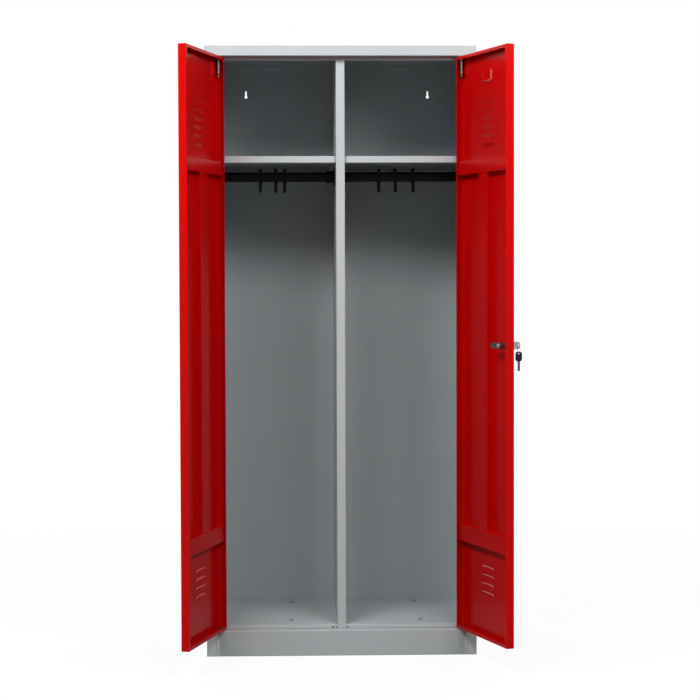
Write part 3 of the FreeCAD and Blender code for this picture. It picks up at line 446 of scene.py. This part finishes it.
class Wardrobe:
    """Finishes as materials, made once each and put on pieces."""

    def __init__(self) -> None:
        """Start with no material made."""
        self.made: dict[str, bpy.types.Material] = {}

    def wear(self, piece: bpy.types.Object, finish: Finish) -> None:
        """Put a finish on a piece.

        Args:
            piece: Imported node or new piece.
            finish: Finish that it shows.
        """
        if finish.name not in self.made:
            self.made[finish.name] = finish.material()
        piece.data.materials.clear()
        piece.data.materials.append(self.made[finish.name])

    def dress(self, finish: Finish, *nodes: str) -> None:
        """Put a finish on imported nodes.

        Args:
            finish: Finish that they show.
            nodes: Names of the nodes.
        """
        for node in nodes:
            self.wear(frame["nodes"][node], finish)
            log.info("%s wears %s", node, finish.name)

    def add(
        self, name: str, mesh: bmesh.types.BMesh, finish: Finish, body: str
    ) -> bpy.types.Object:
        """Turn a finished mesh into a piece that rides on a body.

        Args:
            name: Name of the piece.
            mesh: Mesh in the part's frame, which is freed.
            finish: Finish that it shows.
            body: Body that carries it.

        Returns:
            The new piece.
        """
        data = bpy.data.meshes.new(name)
        bmesh.ops.recalc_face_normals(mesh, faces=mesh.faces)
        mesh.to_mesh(data)
        mesh.free()
        data.shade_smooth()
        piece = bpy.data.objects.new(name, data)
        bpy.context.scene.collection.objects.link(piece)
        self.wear(piece, finish)
        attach(piece, body)
        log.info("%s rides on %s", name, body)
        return piece


def ring_of(
    mesh: bmesh.types.BMesh, centre: Vector, first: Vector, second: Vector, count: int
) -> Ring:
    """Ring of vertices.

    Args:
        mesh: Mesh that gets the ring.
        centre: Middle of the ring.
        first: Radius towards the first vertex.
        second: Radius a quarter turn on.
        count: Number of vertices.

    Returns:
        The new vertices in order.
    """
    turns = [2.0 * math.pi * step / count for step in range(count)]
    places = [centre + first * math.cos(turn) + second * math.sin(turn) for turn in turns]
    return [mesh.verts.new(place) for place in places]


def skin(mesh: bmesh.types.BMesh, rings: list[Ring]) -> None:
    """Join rings of vertices to a tube with closed ends.

    Args:
        mesh: Mesh that holds the rings.
        rings: Rings in order along the tube.
    """
    for ring, following in zip(rings, rings[1:]):
        for step in range(len(ring)):
            ahead = (step + 1) % len(ring)
            mesh.faces.new((ring[step], ring[ahead], following[ahead], following[step]))
    mesh.faces.new(list(reversed(rings[0])))
    mesh.faces.new(rings[-1])


def sweep(mesh: bmesh.types.BMesh, path: list[Vector], radius: float, count: int) -> None:
    """Round wire along a path.

    Args:
        mesh: Mesh that gets the wire.
        path: Points along the middle of the wire.
        radius: Radius of the wire.
        count: Vertices round the wire.
    """
    rings = []
    for index, place in enumerate(path):
        along = (path[min(index + 1, len(path) - 1)] - path[max(index - 1, 0)]).normalized()
        across = along.cross(Vector((0.0, 0.0, 1.0))).normalized()
        rings.append(ring_of(mesh, place, across * radius, across.cross(along) * radius, count))
    skin(mesh, rings)


def turned(
    mesh: bmesh.types.BMesh, place: Vector, normal: Vector, profile: Profile, count: int = 20
) -> None:
    """Turned form that stands on a surface.

    Args:
        mesh: Mesh that gets the form.
        place: Foot of its axis.
        normal: Direction of its axis.
        profile: Radius and height of each step, from one end to the other.
        count: Vertices round the form.
    """
    first = normal.orthogonal().normalized()
    second = normal.cross(first)
    rings = []
    for radius, rise in profile:
        rings.append(ring_of(mesh, place + normal * rise, first * radius, second * radius, count))
    skin(mesh, rings)


@dataclass
class Carcass:
    """Folded sheet carcass with its partition, floor, plinth and hat shelves."""

    mark: Profile = (
        (0.0028, 0.0), (0.0024, 0.00018), (0.002, 0.00022), (0.0014, 0.00012), (0.0007, 0.00007),
    )
    back_pitch: float = 0.14
    back_inset: float = 0.020
    shelf_drop: float = 0.010
    side_rows: tuple[float, ...] = (0.08, 0.24, 0.40)

    def dress(self, wardrobe: Wardrobe) -> None:
        """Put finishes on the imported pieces.

        Args:
            wardrobe: Holder of the finishes.
        """
        shell = ("top_panel", "left_side_panel", "right_side_panel", "back_panel", "plinth")
        inside = ("floor_panel", "partition", "left_hat_shelf", "right_hat_shelf")
        wardrobe.dress(LIGHT_GREY, *shell, *inside)
        wardrobe.dress(NATURAL_NYLON, "left_upper_bush", "right_upper_bush")
        # Lower pins in darkened zinc: painted shade.
        wardrobe.dress(SHADED_ZINC, "left_lower_pin", "right_lower_pin")
        wardrobe.dress(BRIGHT_ZINC, "rail_rivets")

    def weld_marks(self, wardrobe: Wardrobe) -> bpy.types.Object:
        """Spot-weld marks on the back and sides, where flanges are welded behind the sheet.

        Args:
            wardrobe: Holder of the finishes.

        Returns:
            The piece with all marks.
        """
        mesh = bmesh.new()
        low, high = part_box("back_panel")
        rows = int((high.z - low.z) / self.back_pitch)
        margin = (high.z - low.z - (rows - 1) * self.back_pitch) / 2
        for x in (low.x + self.back_inset, high.x - self.back_inset, 0.0):
            for row in range(rows):
                place = Vector((x, high.y, low.z + margin + row * self.back_pitch))
                turned(mesh, place, Vector((0.0, 1.0, 0.0)), self.mark)
        for side in Side:
            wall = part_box(f"{side.value}_side_panel")[0 if side is Side.LEFT else 1].x
            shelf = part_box(f"{side.value}_hat_shelf")[1].z - self.shelf_drop
            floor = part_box("floor_panel")[1].z - self.shelf_drop
            for y in self.side_rows:
                for z in (shelf, floor):
                    turned(mesh, Vector((wall, y, z)), Vector((side.sign, 0.0, 0.0)), self.mark)
        return wardrobe.add("carcass_weld_marks", mesh, LIGHT_GREY, "carcass")


@dataclass
class HolePlugs:
    """Plastic plugs in the floor's anchor holes and in the small holes of its step."""

    anchors_across: tuple[float, ...] = (-0.1495, 0.239)
    anchors_back: tuple[float, ...] = (0.073, 0.396)
    anchor_plug: Profile = (
        (0.0034, -0.0046), (0.0048, -0.0024), (0.0043, -0.001), (0.0043, 0.0), (0.0056, 0.0),
        (0.0056, 0.0012), (0.0053, 0.0030), (0.0043, 0.0046), (0.0024, 0.0056),
    )
    step_across: tuple[float, ...] = (-0.0265, -0.0135, 0.017)
    step_drop: float = 0.0074
    step_plug: Profile = (
        (0.0018, -0.0030), (0.0027, -0.0018), (0.0023, -0.0009), (0.0023, 0.0),
        (0.0035, 0.0), (0.0034, 0.0006), (0.0027, 0.0011), (0.0013, 0.0014),
    )

    def build(self, wardrobe: Wardrobe) -> None:
        """Make the plugs.

        Args:
            wardrobe: Holder of the finishes.
        """
        low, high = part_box("floor_panel")
        mesh = bmesh.new()
        for x in self.anchors_across:
            for back in self.anchors_back:
                place = Vector((x, low.y + back, high.z))
                turned(mesh, place, Vector((0.0, 0.0, 1.0)), self.anchor_plug)
        wardrobe.add("floor_hole_plugs", mesh, PLUG_GREY, "carcass")
        mesh = bmesh.new()
        for x in self.step_across:
            place = Vector((x, low.y, high.z - self.step_drop))
            turned(mesh, place, Vector((0.0, -1.0, 0.0)), self.step_plug)
        wardrobe.add("step_hole_plugs", mesh, PLUG_GREY, "carcass")


@dataclass
class CoatRails:
    """Coat rails with their brackets and sliding hooks."""

    hooks: int = 3

    def dress(self, wardrobe: Wardrobe) -> None:
        """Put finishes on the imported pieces.

        Args:
            wardrobe: Holder of the finishes.
        """
        for side in Side:
            wardrobe.dress(TUBE_BLACK, f"{side.value}_coat_rail")
            ends = [f"{side.value}_rail_bracket_at_{end}" for end in ("side", "partition")]
            numbers = [f"{side.value}_hook_{number}" for number in range(1, self.hooks + 1)]
            wardrobe.dress(HOOK_BLACK, *ends, *numbers)


@dataclass
class Door:
    """One door with its stiffening rails, upright and pivots."""

    side: Side
    pin_travel: float = 0.012
    wire_radius: float = 0.0006
    active_turns: int = 6
    closed_turns: int = 1
    closed_lead: float = 2.2
    steps_per_turn: int = 36
    wire_count: int = 12
    centre: float = 0.18525
    inside: float = -0.0092
    louvre_edges_at: tuple[float, ...] = (0.209, 0.234, 0.259, 0.284)
    louvre_half: float = 0.040
    louvre_bend: float = 0.006
    louvre_drop: float = 0.0035
    # Radius of the painted highlight lines on the lower louvres.
    highlight_radius: float = 0.0007

    def __post_init__(self) -> None:
        """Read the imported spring's place and how far the door stands open."""
        joint = joint_named(f"{self.side.value}_door_swing")
        self.hinge = Vector(joint["pos_m"])
        opening = -math.radians(joint["range_deg"][0])
        self.opened = Matrix.Rotation(opening, 3, Vector(joint["axis"]))
        self.spring_node = f"{self.side.value}_pivot_spring"
        self.spring_low, self.spring_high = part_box(self.spring_node)
        self.spring_length = self.spring_high.z - self.spring_low.z

    def dress(self, wardrobe: Wardrobe) -> None:
        """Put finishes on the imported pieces.

        Args:
            wardrobe: Holder of the finishes.
        """
        name = self.side.value
        braces = ("door_upper_brace", "door_lower_brace", "door_upright")
        sheets = ("door_panel", *braces, "pivot_bracket")
        wardrobe.dress(SIGNAL_RED, *(f"{name}_{sheet}" for sheet in sheets))
        wardrobe.dress(BLACK_NYLON, f"{name}_door_lower_bush")
        # Pivot pin in darkened zinc: painted shade.
        wardrobe.dress(SHADED_ZINC, f"{name}_pivot_pin")

    def hung(self, x: float, y: float, z: float) -> Vector:
        """Place on the open door.

        Args:
            x: Distance from the middle of the locker with the door closed.
            y: Place from front to back with the door closed.
            z: Height.

        Returns:
            The same place with the door open.
        """
        closed = Vector((self.side.sign * x, y, z))
        return self.hinge + self.opened @ (closed - self.hinge)

    def louvre_highlights(self, wardrobe: Wardrobe) -> bpy.types.Object:
        """Painted highlight lines along the lower louvres: pale red lines that stand for the light
        caught on the louvres' slopes.

        Args:
            wardrobe: Holder of the finishes.

        Returns:
            The piece with all painted highlight lines of this door.
        """
        mesh = bmesh.new()
        straight = self.louvre_half - self.louvre_bend
        line = (
            (-self.louvre_half, -self.louvre_drop), (-straight, 0.0), (0.0, 0.0),
            (straight, 0.0), (self.louvre_half, -self.louvre_drop),
        )
        for height in self.louvre_edges_at:
            path = [
                self.hung(self.centre + along, self.inside, height + rise) for along, rise in line
            ]
            sweep(mesh, path, self.highlight_radius, self.wire_count)
        name = self.side.value
        return wardrobe.add(f"{name}_louvre_highlights", mesh, LOUVRE_HIGHLIGHT_RED, f"{name}_door")

    def wire_rise(self, turn: float) -> float:
        """Rise of the spring's wire, slow in its closed end turns.

        Args:
            turn: Turns along the wire from its lower end.

        Returns:
            Height over the wire's lower end.
        """
        turns = self.active_turns + 2 * self.closed_turns
        lead = self.closed_lead * self.wire_radius
        whole = self.spring_length - 2 * self.wire_radius
        if turn < self.closed_turns:
            return turn * lead
        if turn > turns - self.closed_turns:
            return whole - (turns - turn) * lead
        closed = self.closed_turns * lead
        return closed + (turn - self.closed_turns) / self.active_turns * (whole - 2 * closed)

    def spring(self, wardrobe: Wardrobe) -> bpy.types.Object:
        """Coil spring with closed ends round the pivot pin, in one fixed shape.

        Args:
            wardrobe: Holder of the finishes.

        Returns:
            The spring.
        """
        low, high = self.spring_low, self.spring_high
        centre = (low + high) / 2
        radius = (high.x - low.x) / 2 - self.wire_radius
        steps = (self.active_turns + 2 * self.closed_turns) * self.steps_per_turn
        path = []
        for step in range(steps + 1):
            turn = step / self.steps_per_turn
            angle = 2.0 * math.pi * turn
            x = centre.x + radius * math.cos(angle)
            y = centre.y + radius * math.sin(angle)
            z = low.z + self.wire_radius + self.wire_rise(turn)
            path.append(Vector((x, y, z)))
        mesh = bmesh.new()
        sweep(mesh, path, self.wire_radius, self.wire_count)
        name = self.side.value
        # Spring coil in darkened zinc: painted shade.
        piece = wardrobe.add(f"{name}_spring_coil", mesh, SHADED_ZINC, f"{name}_door")
        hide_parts(self.spring_node)
        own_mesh(piece)
        return piece


@dataclass
class CamLock:
    """Cam lock in the right door, with its keys and ring."""

    body_radius: float = 0.009
    thread_start: float = 0.0062
    thread_end: float = 0.0298
    thread_pitch: float = 0.0015
    thread_rise: float = 0.00035
    flank_share: float = 0.42
    root_share: float = 0.2
    start_share: float = 0.1
    steps_per_turn: int = 32

    def __post_init__(self) -> None:
        """Read the lock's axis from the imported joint."""
        joint = joint_named("lock_turn")
        self.origin = Vector(joint["pos_m"])
        self.inward = Vector(joint["axis"]).normalized()
        self.up = Vector((0.0, 0.0, 1.0))
        self.across = self.up.cross(self.inward)

    def dress(self, wardrobe: Wardrobe) -> None:
        """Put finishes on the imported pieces.

        Args:
            wardrobe: Holder of the finishes.
        """
        wardrobe.dress(SATIN_NICKEL, "lock_housing", "lock_plug", "key_ring")
        wardrobe.dress(SHADED_KEY_NICKEL, "lock_key")
        # Nut in near black nickel: painted shade and dark reflection.
        wardrobe.dress(SHADED_NICKEL, "lock_nut")
        # Cam in darker zinc: painted shade.
        wardrobe.dress(SHADED_CAM_ZINC, "lock_cam")
        wardrobe.dress(BRIGHT_ZINC, "cam_screw")
        # Spare key blade in near black steel: painted shade.
        wardrobe.dress(SHADED_BLADE_STEEL, "spare_key_blade")
        wardrobe.dress(BOW_BLACK, "spare_key_bow")

    def thread(self, wardrobe: Wardrobe) -> bpy.types.Object:
        """Screw thread on the lock's body between its nut and its cam.

        Args:
            wardrobe: Holder of the finishes.

        Returns:
            The thread.
        """
        mesh = bmesh.new()
        turns = (self.thread_end - self.thread_start) / self.thread_pitch - 1
        steps = int(turns * self.steps_per_turn)
        half = self.thread_pitch * self.flank_share
        root = self.body_radius - self.thread_rise * self.root_share
        rings = []
        for step in range(steps + 1):
            turn = 2.0 * math.pi * step / self.steps_per_turn
            outward = self.across * math.cos(turn) + self.up * math.sin(turn)
            depth = self.thread_start + half + self.thread_pitch * step / self.steps_per_turn
            ease = min(1.0, step / self.steps_per_turn, (steps - step) / self.steps_per_turn)
            rise = self.start_share + (1.0 - self.start_share) * ease
            crest = self.body_radius + self.thread_rise * rise
            ring = []
            for shift, reach in ((-half, root), (0.0, crest), (half, root)):
                place = self.origin + self.inward * (depth + shift) + outward * reach
                ring.append(mesh.verts.new(place))
            rings.append(ring)
        skin(mesh, rings)
        # The thread wears the near black nickel of painted shade and dark reflection.
        return wardrobe.add("lock_thread", mesh, SHADED_NICKEL, "right_door")


@dataclass
class LabelPocket:
    """Label pocket in the right door: a rounded bead, with a painted highlight in pale red along
    its free side and bottom.
    """

    width: float = 0.055
    height: float = 0.0305
    from_lock: float = 0.14375
    over_lock: float = 0.76875
    sheet: float = 0.0008
    rise: float = 0.0034
    half_width: float = 0.0028
    corner: float = 0.006
    corner_steps: int = 6
    sunk: float = 0.0003
    # How far the painted highlight stands out over the bead.
    highlight_lift: float = 0.00012
    section: Profile = (
        (-1.0, 0.0), (-0.8, 0.5), (-0.45, 0.9), (0.0, 1.0), (0.45, 0.9), (0.8, 0.5), (1.0, 0.0),
    )

    def __post_init__(self) -> None:
        """Take the door's directions and the pocket's middle from the lock."""
        lock = CamLock()
        self.inward, self.up, self.hingeward = lock.inward, lock.up, -lock.across
        self.middle = lock.origin + self.hingeward * self.from_lock + self.up * self.over_lock

    def path(self) -> list[tuple[float, float]]:
        """Middle line of the bead.

        Returns:
            Places towards the hinge and up, from the free side's top round to the hinge side's top.
        """
        side, foot = self.width / 2, -self.height / 2
        places = [(-side, -foot)]
        for centre, start in ((self.corner - side, 180.0), (side - self.corner, 270.0)):
            for step in range(self.corner_steps + 1):
                turn = math.radians(start + 90.0 * step / self.corner_steps)
                along = centre + self.corner * math.cos(turn)
                places.append((along, foot + self.corner + self.corner * math.sin(turn)))
        return places + [(side, -foot)]

    def ridge(
        self,
        wardrobe: Wardrobe,
        name: str,
        places: list[tuple[float, float]],
        over: float,
        finish: Finish,
    ) -> bpy.types.Object:
        """Rounded ridge along a line on the door's inside.

        Args:
            wardrobe: Holder of the finishes.
            name: Name of the piece.
            places: Middle line towards the hinge and up.
            over: How far it stands out over the bead's own size.
            finish: Finish that it shows.

        Returns:
            The ridge.
        """
        mesh = bmesh.new()
        rings = []
        for index, (along, height) in enumerate(places):
            ahead = places[min(index + 1, len(places) - 1)]
            behind = places[max(index - 1, 0)]
            run = Vector((ahead[0] - behind[0], ahead[1] - behind[1])).normalized()
            across = self.hingeward * -run.y + self.up * run.x
            base = self.middle + self.hingeward * along + self.up * height
            base = base + self.inward * self.sheet
            ring = []
            for share, lift in self.section:
                reach = self.inward * ((self.rise + over) * lift if lift else -self.sunk)
                aside = across * (self.half_width + over) * share
                ring.append(mesh.verts.new(base + aside + reach))
            rings.append(ring)
        skin(mesh, rings)
        return wardrobe.add(name, mesh, finish, "right_door")

    def build(self, wardrobe: Wardrobe) -> None:
        """Make the bead and its painted highlight along the free side and bottom.

        Args:
            wardrobe: Holder of the finishes.
        """
        places = self.path()
        self.ridge(wardrobe, "label_pocket_bead", places, 0.0, SIGNAL_RED)
        # Painted highlight: pale red over the free side and bottom of the bead.
        highlighted_places = places[: -self.corner_steps - 1]
        self.ridge(wardrobe, "label_pocket_highlight", highlighted_places, self.highlight_lift, POCKET_HIGHLIGHT_RED)


@dataclass(frozen=True)
class Softbox:
    """Rectangular studio lamp that looks at the middle of the locker."""

    name: str
    azimuth: float
    elevation: float
    width: float
    height: float
    power: float
    reach: float = 6.5
    aim: Colour = (0.0, 0.0, 0.95)

    def build(self) -> bpy.types.Object:
        """Put the lamp up.

        Returns:
            The lamp, at its bearing from the front and its elevation.
        """
        bearing, tilt = math.radians(self.azimuth), math.radians(self.elevation)
        level = math.cos(tilt)
        away = Vector((math.sin(bearing) * level, -math.cos(bearing) * level, math.sin(tilt)))
        data = bpy.data.lights.new(self.name, "AREA")
        data.shape = "RECTANGLE"
        data.size = self.width
        data.size_y = self.height
        data.energy = self.power
        item = bpy.data.objects.new(self.name, data)
        item.location = Vector(self.aim) + away * self.reach
        item.rotation_euler = (-away).to_track_quat("-Z", "Y").to_euler()
        bpy.context.scene.collection.objects.link(item)
        log.info("%s lights the locker", self.name)
        return item


@dataclass
class Studio:
    """White studio with high softboxes in front, and the camera of the photograph."""

    image: int = 700
    sensor: float = 36.0
    focal_pixels: float = 1960.586
    camera_place: Colour = (-0.13384, -5.78384, 1.12216)
    yaw: float = 1.5856
    pitch: float = -2.1378
    roll: float = -0.1683
    clip_end: float = 100.0
    ambient: float = 0.015
    ambient_tint: Colour = (0.95, 0.98, 1.0)
    floor_size: float = 30.0
    floor_near: float = 1.2
    floor_far: float = 3.6
    floor_white: float = 0.9
    floor_bounce: Colour = (0.2, 0.2, 0.2)
    floor_seen: Colour = (0.97, 0.97, 0.97)
    shade_edge: float = 0.03
    lamps: tuple[Softbox, ...] = (
        Softbox("left softbox", -37.0, 44.0, 0.8, 0.6, 36.0, 2.8),
        Softbox("right softbox", 37.0, 34.0, 0.8, 0.6, 17.5, 2.4),
        Softbox("left front softbox", -20.0, 36.0, 1.8, 1.6, 122.0),
        Softbox("right front softbox", 20.0, 36.0, 1.8, 1.6, 126.0),
        Softbox("left side softbox", -80.0, 12.0, 1.8, 1.6, 75.0),
        Softbox("right side softbox", 85.0, 32.0, 1.8, 1.6, 36.0),
        Softbox("left rear softbox", -140.0, 35.0, 2.9, 2.3, 146.0),
        Softbox("right rear softbox", 140.0, 35.0, 2.9, 2.3, 146.0),
    )

    def camera(self) -> bpy.types.Object:
        """Camera at the photograph's viewpoint.

        Returns:
            The camera.
        """
        data = bpy.data.cameras.new("photograph")
        data.sensor_fit = "HORIZONTAL"
        data.sensor_width = self.sensor
        data.lens = self.focal_pixels / self.image * self.sensor
        data.clip_end = self.clip_end
        yaw, pitch, roll = (math.radians(angle) for angle in (self.yaw, self.pitch, self.roll))
        run = math.cos(pitch)
        ahead = Vector((math.sin(yaw) * run, math.cos(yaw) * run, math.sin(pitch)))
        level = Vector((math.cos(yaw), -math.sin(yaw), 0.0))
        upright = level.cross(ahead)
        right = level * math.cos(roll) + upright * math.sin(roll)
        up = upright * math.cos(roll) - level * math.sin(roll)
        turn = Matrix((right, up, -ahead)).transposed().to_4x4()
        item = bpy.data.objects.new("photograph", data)
        item.matrix_world = Matrix.Translation(self.camera_place) @ turn
        bpy.context.scene.collection.objects.link(item)
        bpy.context.scene.camera = item
        return item

    def calculate(
        self, tree: bpy.types.NodeTree, operation: str, first: Socket, second: Socket
    ) -> Socket:
        """Calculate with two sockets.

        Args:
            tree: Node tree that holds them.
            operation: Blender's name of the operation.
            first: First operand.
            second: Second operand.

        Returns:
            Socket with the result.
        """
        node = tree.nodes.new("ShaderNodeMath")
        node.operation = operation
        tree.links.new(first, node.inputs[0])
        tree.links.new(second, node.inputs[1])
        return node.outputs["Value"]

    def seen_directly(self, tree: bpy.types.NodeTree) -> Socket:
        """Whether a ray comes from the camera or from a mirror-like or clear surface.

        Args:
            tree: Node tree that asks.

        Returns:
            Socket that is 1 for such rays.
        """
        path = tree.nodes.new("ShaderNodeLightPath")
        total = path.outputs["Is Camera Ray"]
        for name in ("Is Glossy Ray", "Is Transmission Ray"):
            total = self.calculate(tree, "MAXIMUM", total, path.outputs[name])
        return total

    def world(self) -> None:
        """White surroundings to look at, and a little soft light from them."""
        world = bpy.data.worlds.new("studio")
        bpy.context.scene.world = world
        world.use_nodes = True
        tree = world.node_tree
        soft = tree.nodes["Background"]
        soft.inputs["Color"].default_value = (*self.ambient_tint, 1.0)
        soft.inputs["Strength"].default_value = self.ambient
        white = tree.nodes.new("ShaderNodeBackground")
        white.inputs["Color"].default_value = (1.0, 1.0, 1.0, 1.0)
        mix = tree.nodes.new("ShaderNodeMixShader")
        tree.links.new(self.seen_directly(tree), mix.inputs["Fac"])
        tree.links.new(soft.outputs["Background"], mix.inputs[1])
        tree.links.new(white.outputs["Background"], mix.inputs[2])
        tree.links.new(mix.outputs["Shader"], tree.nodes["World Output"].inputs["Surface"])

    def clear_of_locker(self, tree: bpy.types.NodeTree, place: Socket) -> Socket:
        """Whether a place on the floor isn't covered by the carcass.

        Args:
            tree: Node tree that asks.
            place: Socket with the place on the floor.

        Returns:
            Socket that is 0 under the carcass and 1 beside it.
        """
        low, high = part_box("left_side_panel")[0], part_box("right_side_panel")[1]
        middle, half = (low + high) / 2, (high - low) / 2
        for operation, amount in (("SUBTRACT", middle), ("ABSOLUTE", None), ("SUBTRACT", half)):
            node = tree.nodes.new("ShaderNodeVectorMath")
            node.operation = operation
            tree.links.new(place, node.inputs[0])
            if amount is not None:
                node.inputs[1].default_value = amount
            place = node.outputs["Vector"]
        parts = tree.nodes.new("ShaderNodeSeparateXYZ")
        tree.links.new(place, parts.inputs["Vector"])
        outside = self.calculate(tree, "MAXIMUM", parts.outputs["X"], parts.outputs["Y"])
        edge = tree.nodes.new("ShaderNodeMapRange")
        edge.inputs["From Min"].default_value = -self.shade_edge
        edge.inputs["From Max"].default_value = 0.0
        tree.links.new(outside, edge.inputs["Value"])
        return edge.outputs["Result"]

    def floor(self) -> bpy.types.Object:
        """Plain pale floor that keeps the object's shadow.

        Returns:
            The floor.
        """
        mesh = bmesh.new()
        bmesh.ops.create_grid(mesh, x_segments=1, y_segments=1, size=self.floor_size / 2)
        data = bpy.data.meshes.new("studio_floor")
        mesh.to_mesh(data)
        mesh.free()
        item = bpy.data.objects.new("studio_floor", data)
        item.location.z = CAD_BOX[0][2]
        bpy.context.scene.collection.objects.link(item)
        material = bpy.data.materials.new("pale floor")
        material.use_nodes = True
        tree = material.node_tree
        tree.nodes.remove(tree.nodes["Principled BSDF"])
        paint = tree.nodes.new("ShaderNodeBsdfDiffuse")
        seen = self.seen_directly(tree)
        tint = tree.nodes.new("ShaderNodeMixRGB")
        tint.inputs["Color1"].default_value = (*self.floor_bounce, 1.0)
        tint.inputs["Color2"].default_value = (*self.floor_seen, 1.0)
        tree.links.new(seen, tint.inputs["Fac"])
        tree.links.new(tint.outputs["Color"], paint.inputs["Color"])
        glow = tree.nodes.new("ShaderNodeEmission")
        place = tree.nodes.new("ShaderNodeTexCoord").outputs["Object"]
        distance = tree.nodes.new("ShaderNodeVectorMath")
        distance.operation = "LENGTH"
        tree.links.new(place, distance.inputs[0])
        fade = tree.nodes.new("ShaderNodeMapRange")
        fade.interpolation_type = "SMOOTHSTEP"
        fade.inputs["From Min"].default_value = self.floor_near
        fade.inputs["From Max"].default_value = self.floor_far
        fade.inputs["To Min"].default_value = self.floor_white
        tree.links.new(distance.outputs["Value"], fade.inputs["Value"])
        share = fade.outputs["Result"]
        for factor in (seen, self.clear_of_locker(tree, place)):
            share = self.calculate(tree, "MULTIPLY", share, factor)
        mix = tree.nodes.new("ShaderNodeMixShader")
        tree.links.new(share, mix.inputs["Fac"])
        tree.links.new(paint.outputs["BSDF"], mix.inputs[1])
        tree.links.new(glow.outputs["Emission"], mix.inputs[2])
        tree.links.new(mix.outputs["Shader"], tree.nodes["Material Output"].inputs["Surface"])
        item.data.materials.append(material)
        return item

    def build(self) -> None:
        """Set up the whole studio."""
        bpy.context.scene.view_settings.view_transform = "Standard"
        self.camera()
        for lamp in self.lamps:
            lamp.build()
        self.world()
        self.floor()


def main() -> None:
    """Dress the locker, add its details and set up the studio."""
    logging.basicConfig(level=logging.INFO, format="%(name)s: %(message)s")
    wardrobe = Wardrobe()
    carcass = Carcass()
    carcass.dress(wardrobe)
    carcass.weld_marks(wardrobe)
    HolePlugs().build(wardrobe)
    CoatRails().dress(wardrobe)
    for side in Side:
        door = Door(side)
        door.dress(wardrobe)
        door.spring(wardrobe)
        door.louvre_highlights(wardrobe)
    lock = CamLock()
    lock.dress(wardrobe)
    lock.thread(wardrobe)
    LabelPocket().build(wardrobe)
    Studio().build()


if __name__ == "__main__":
    main()
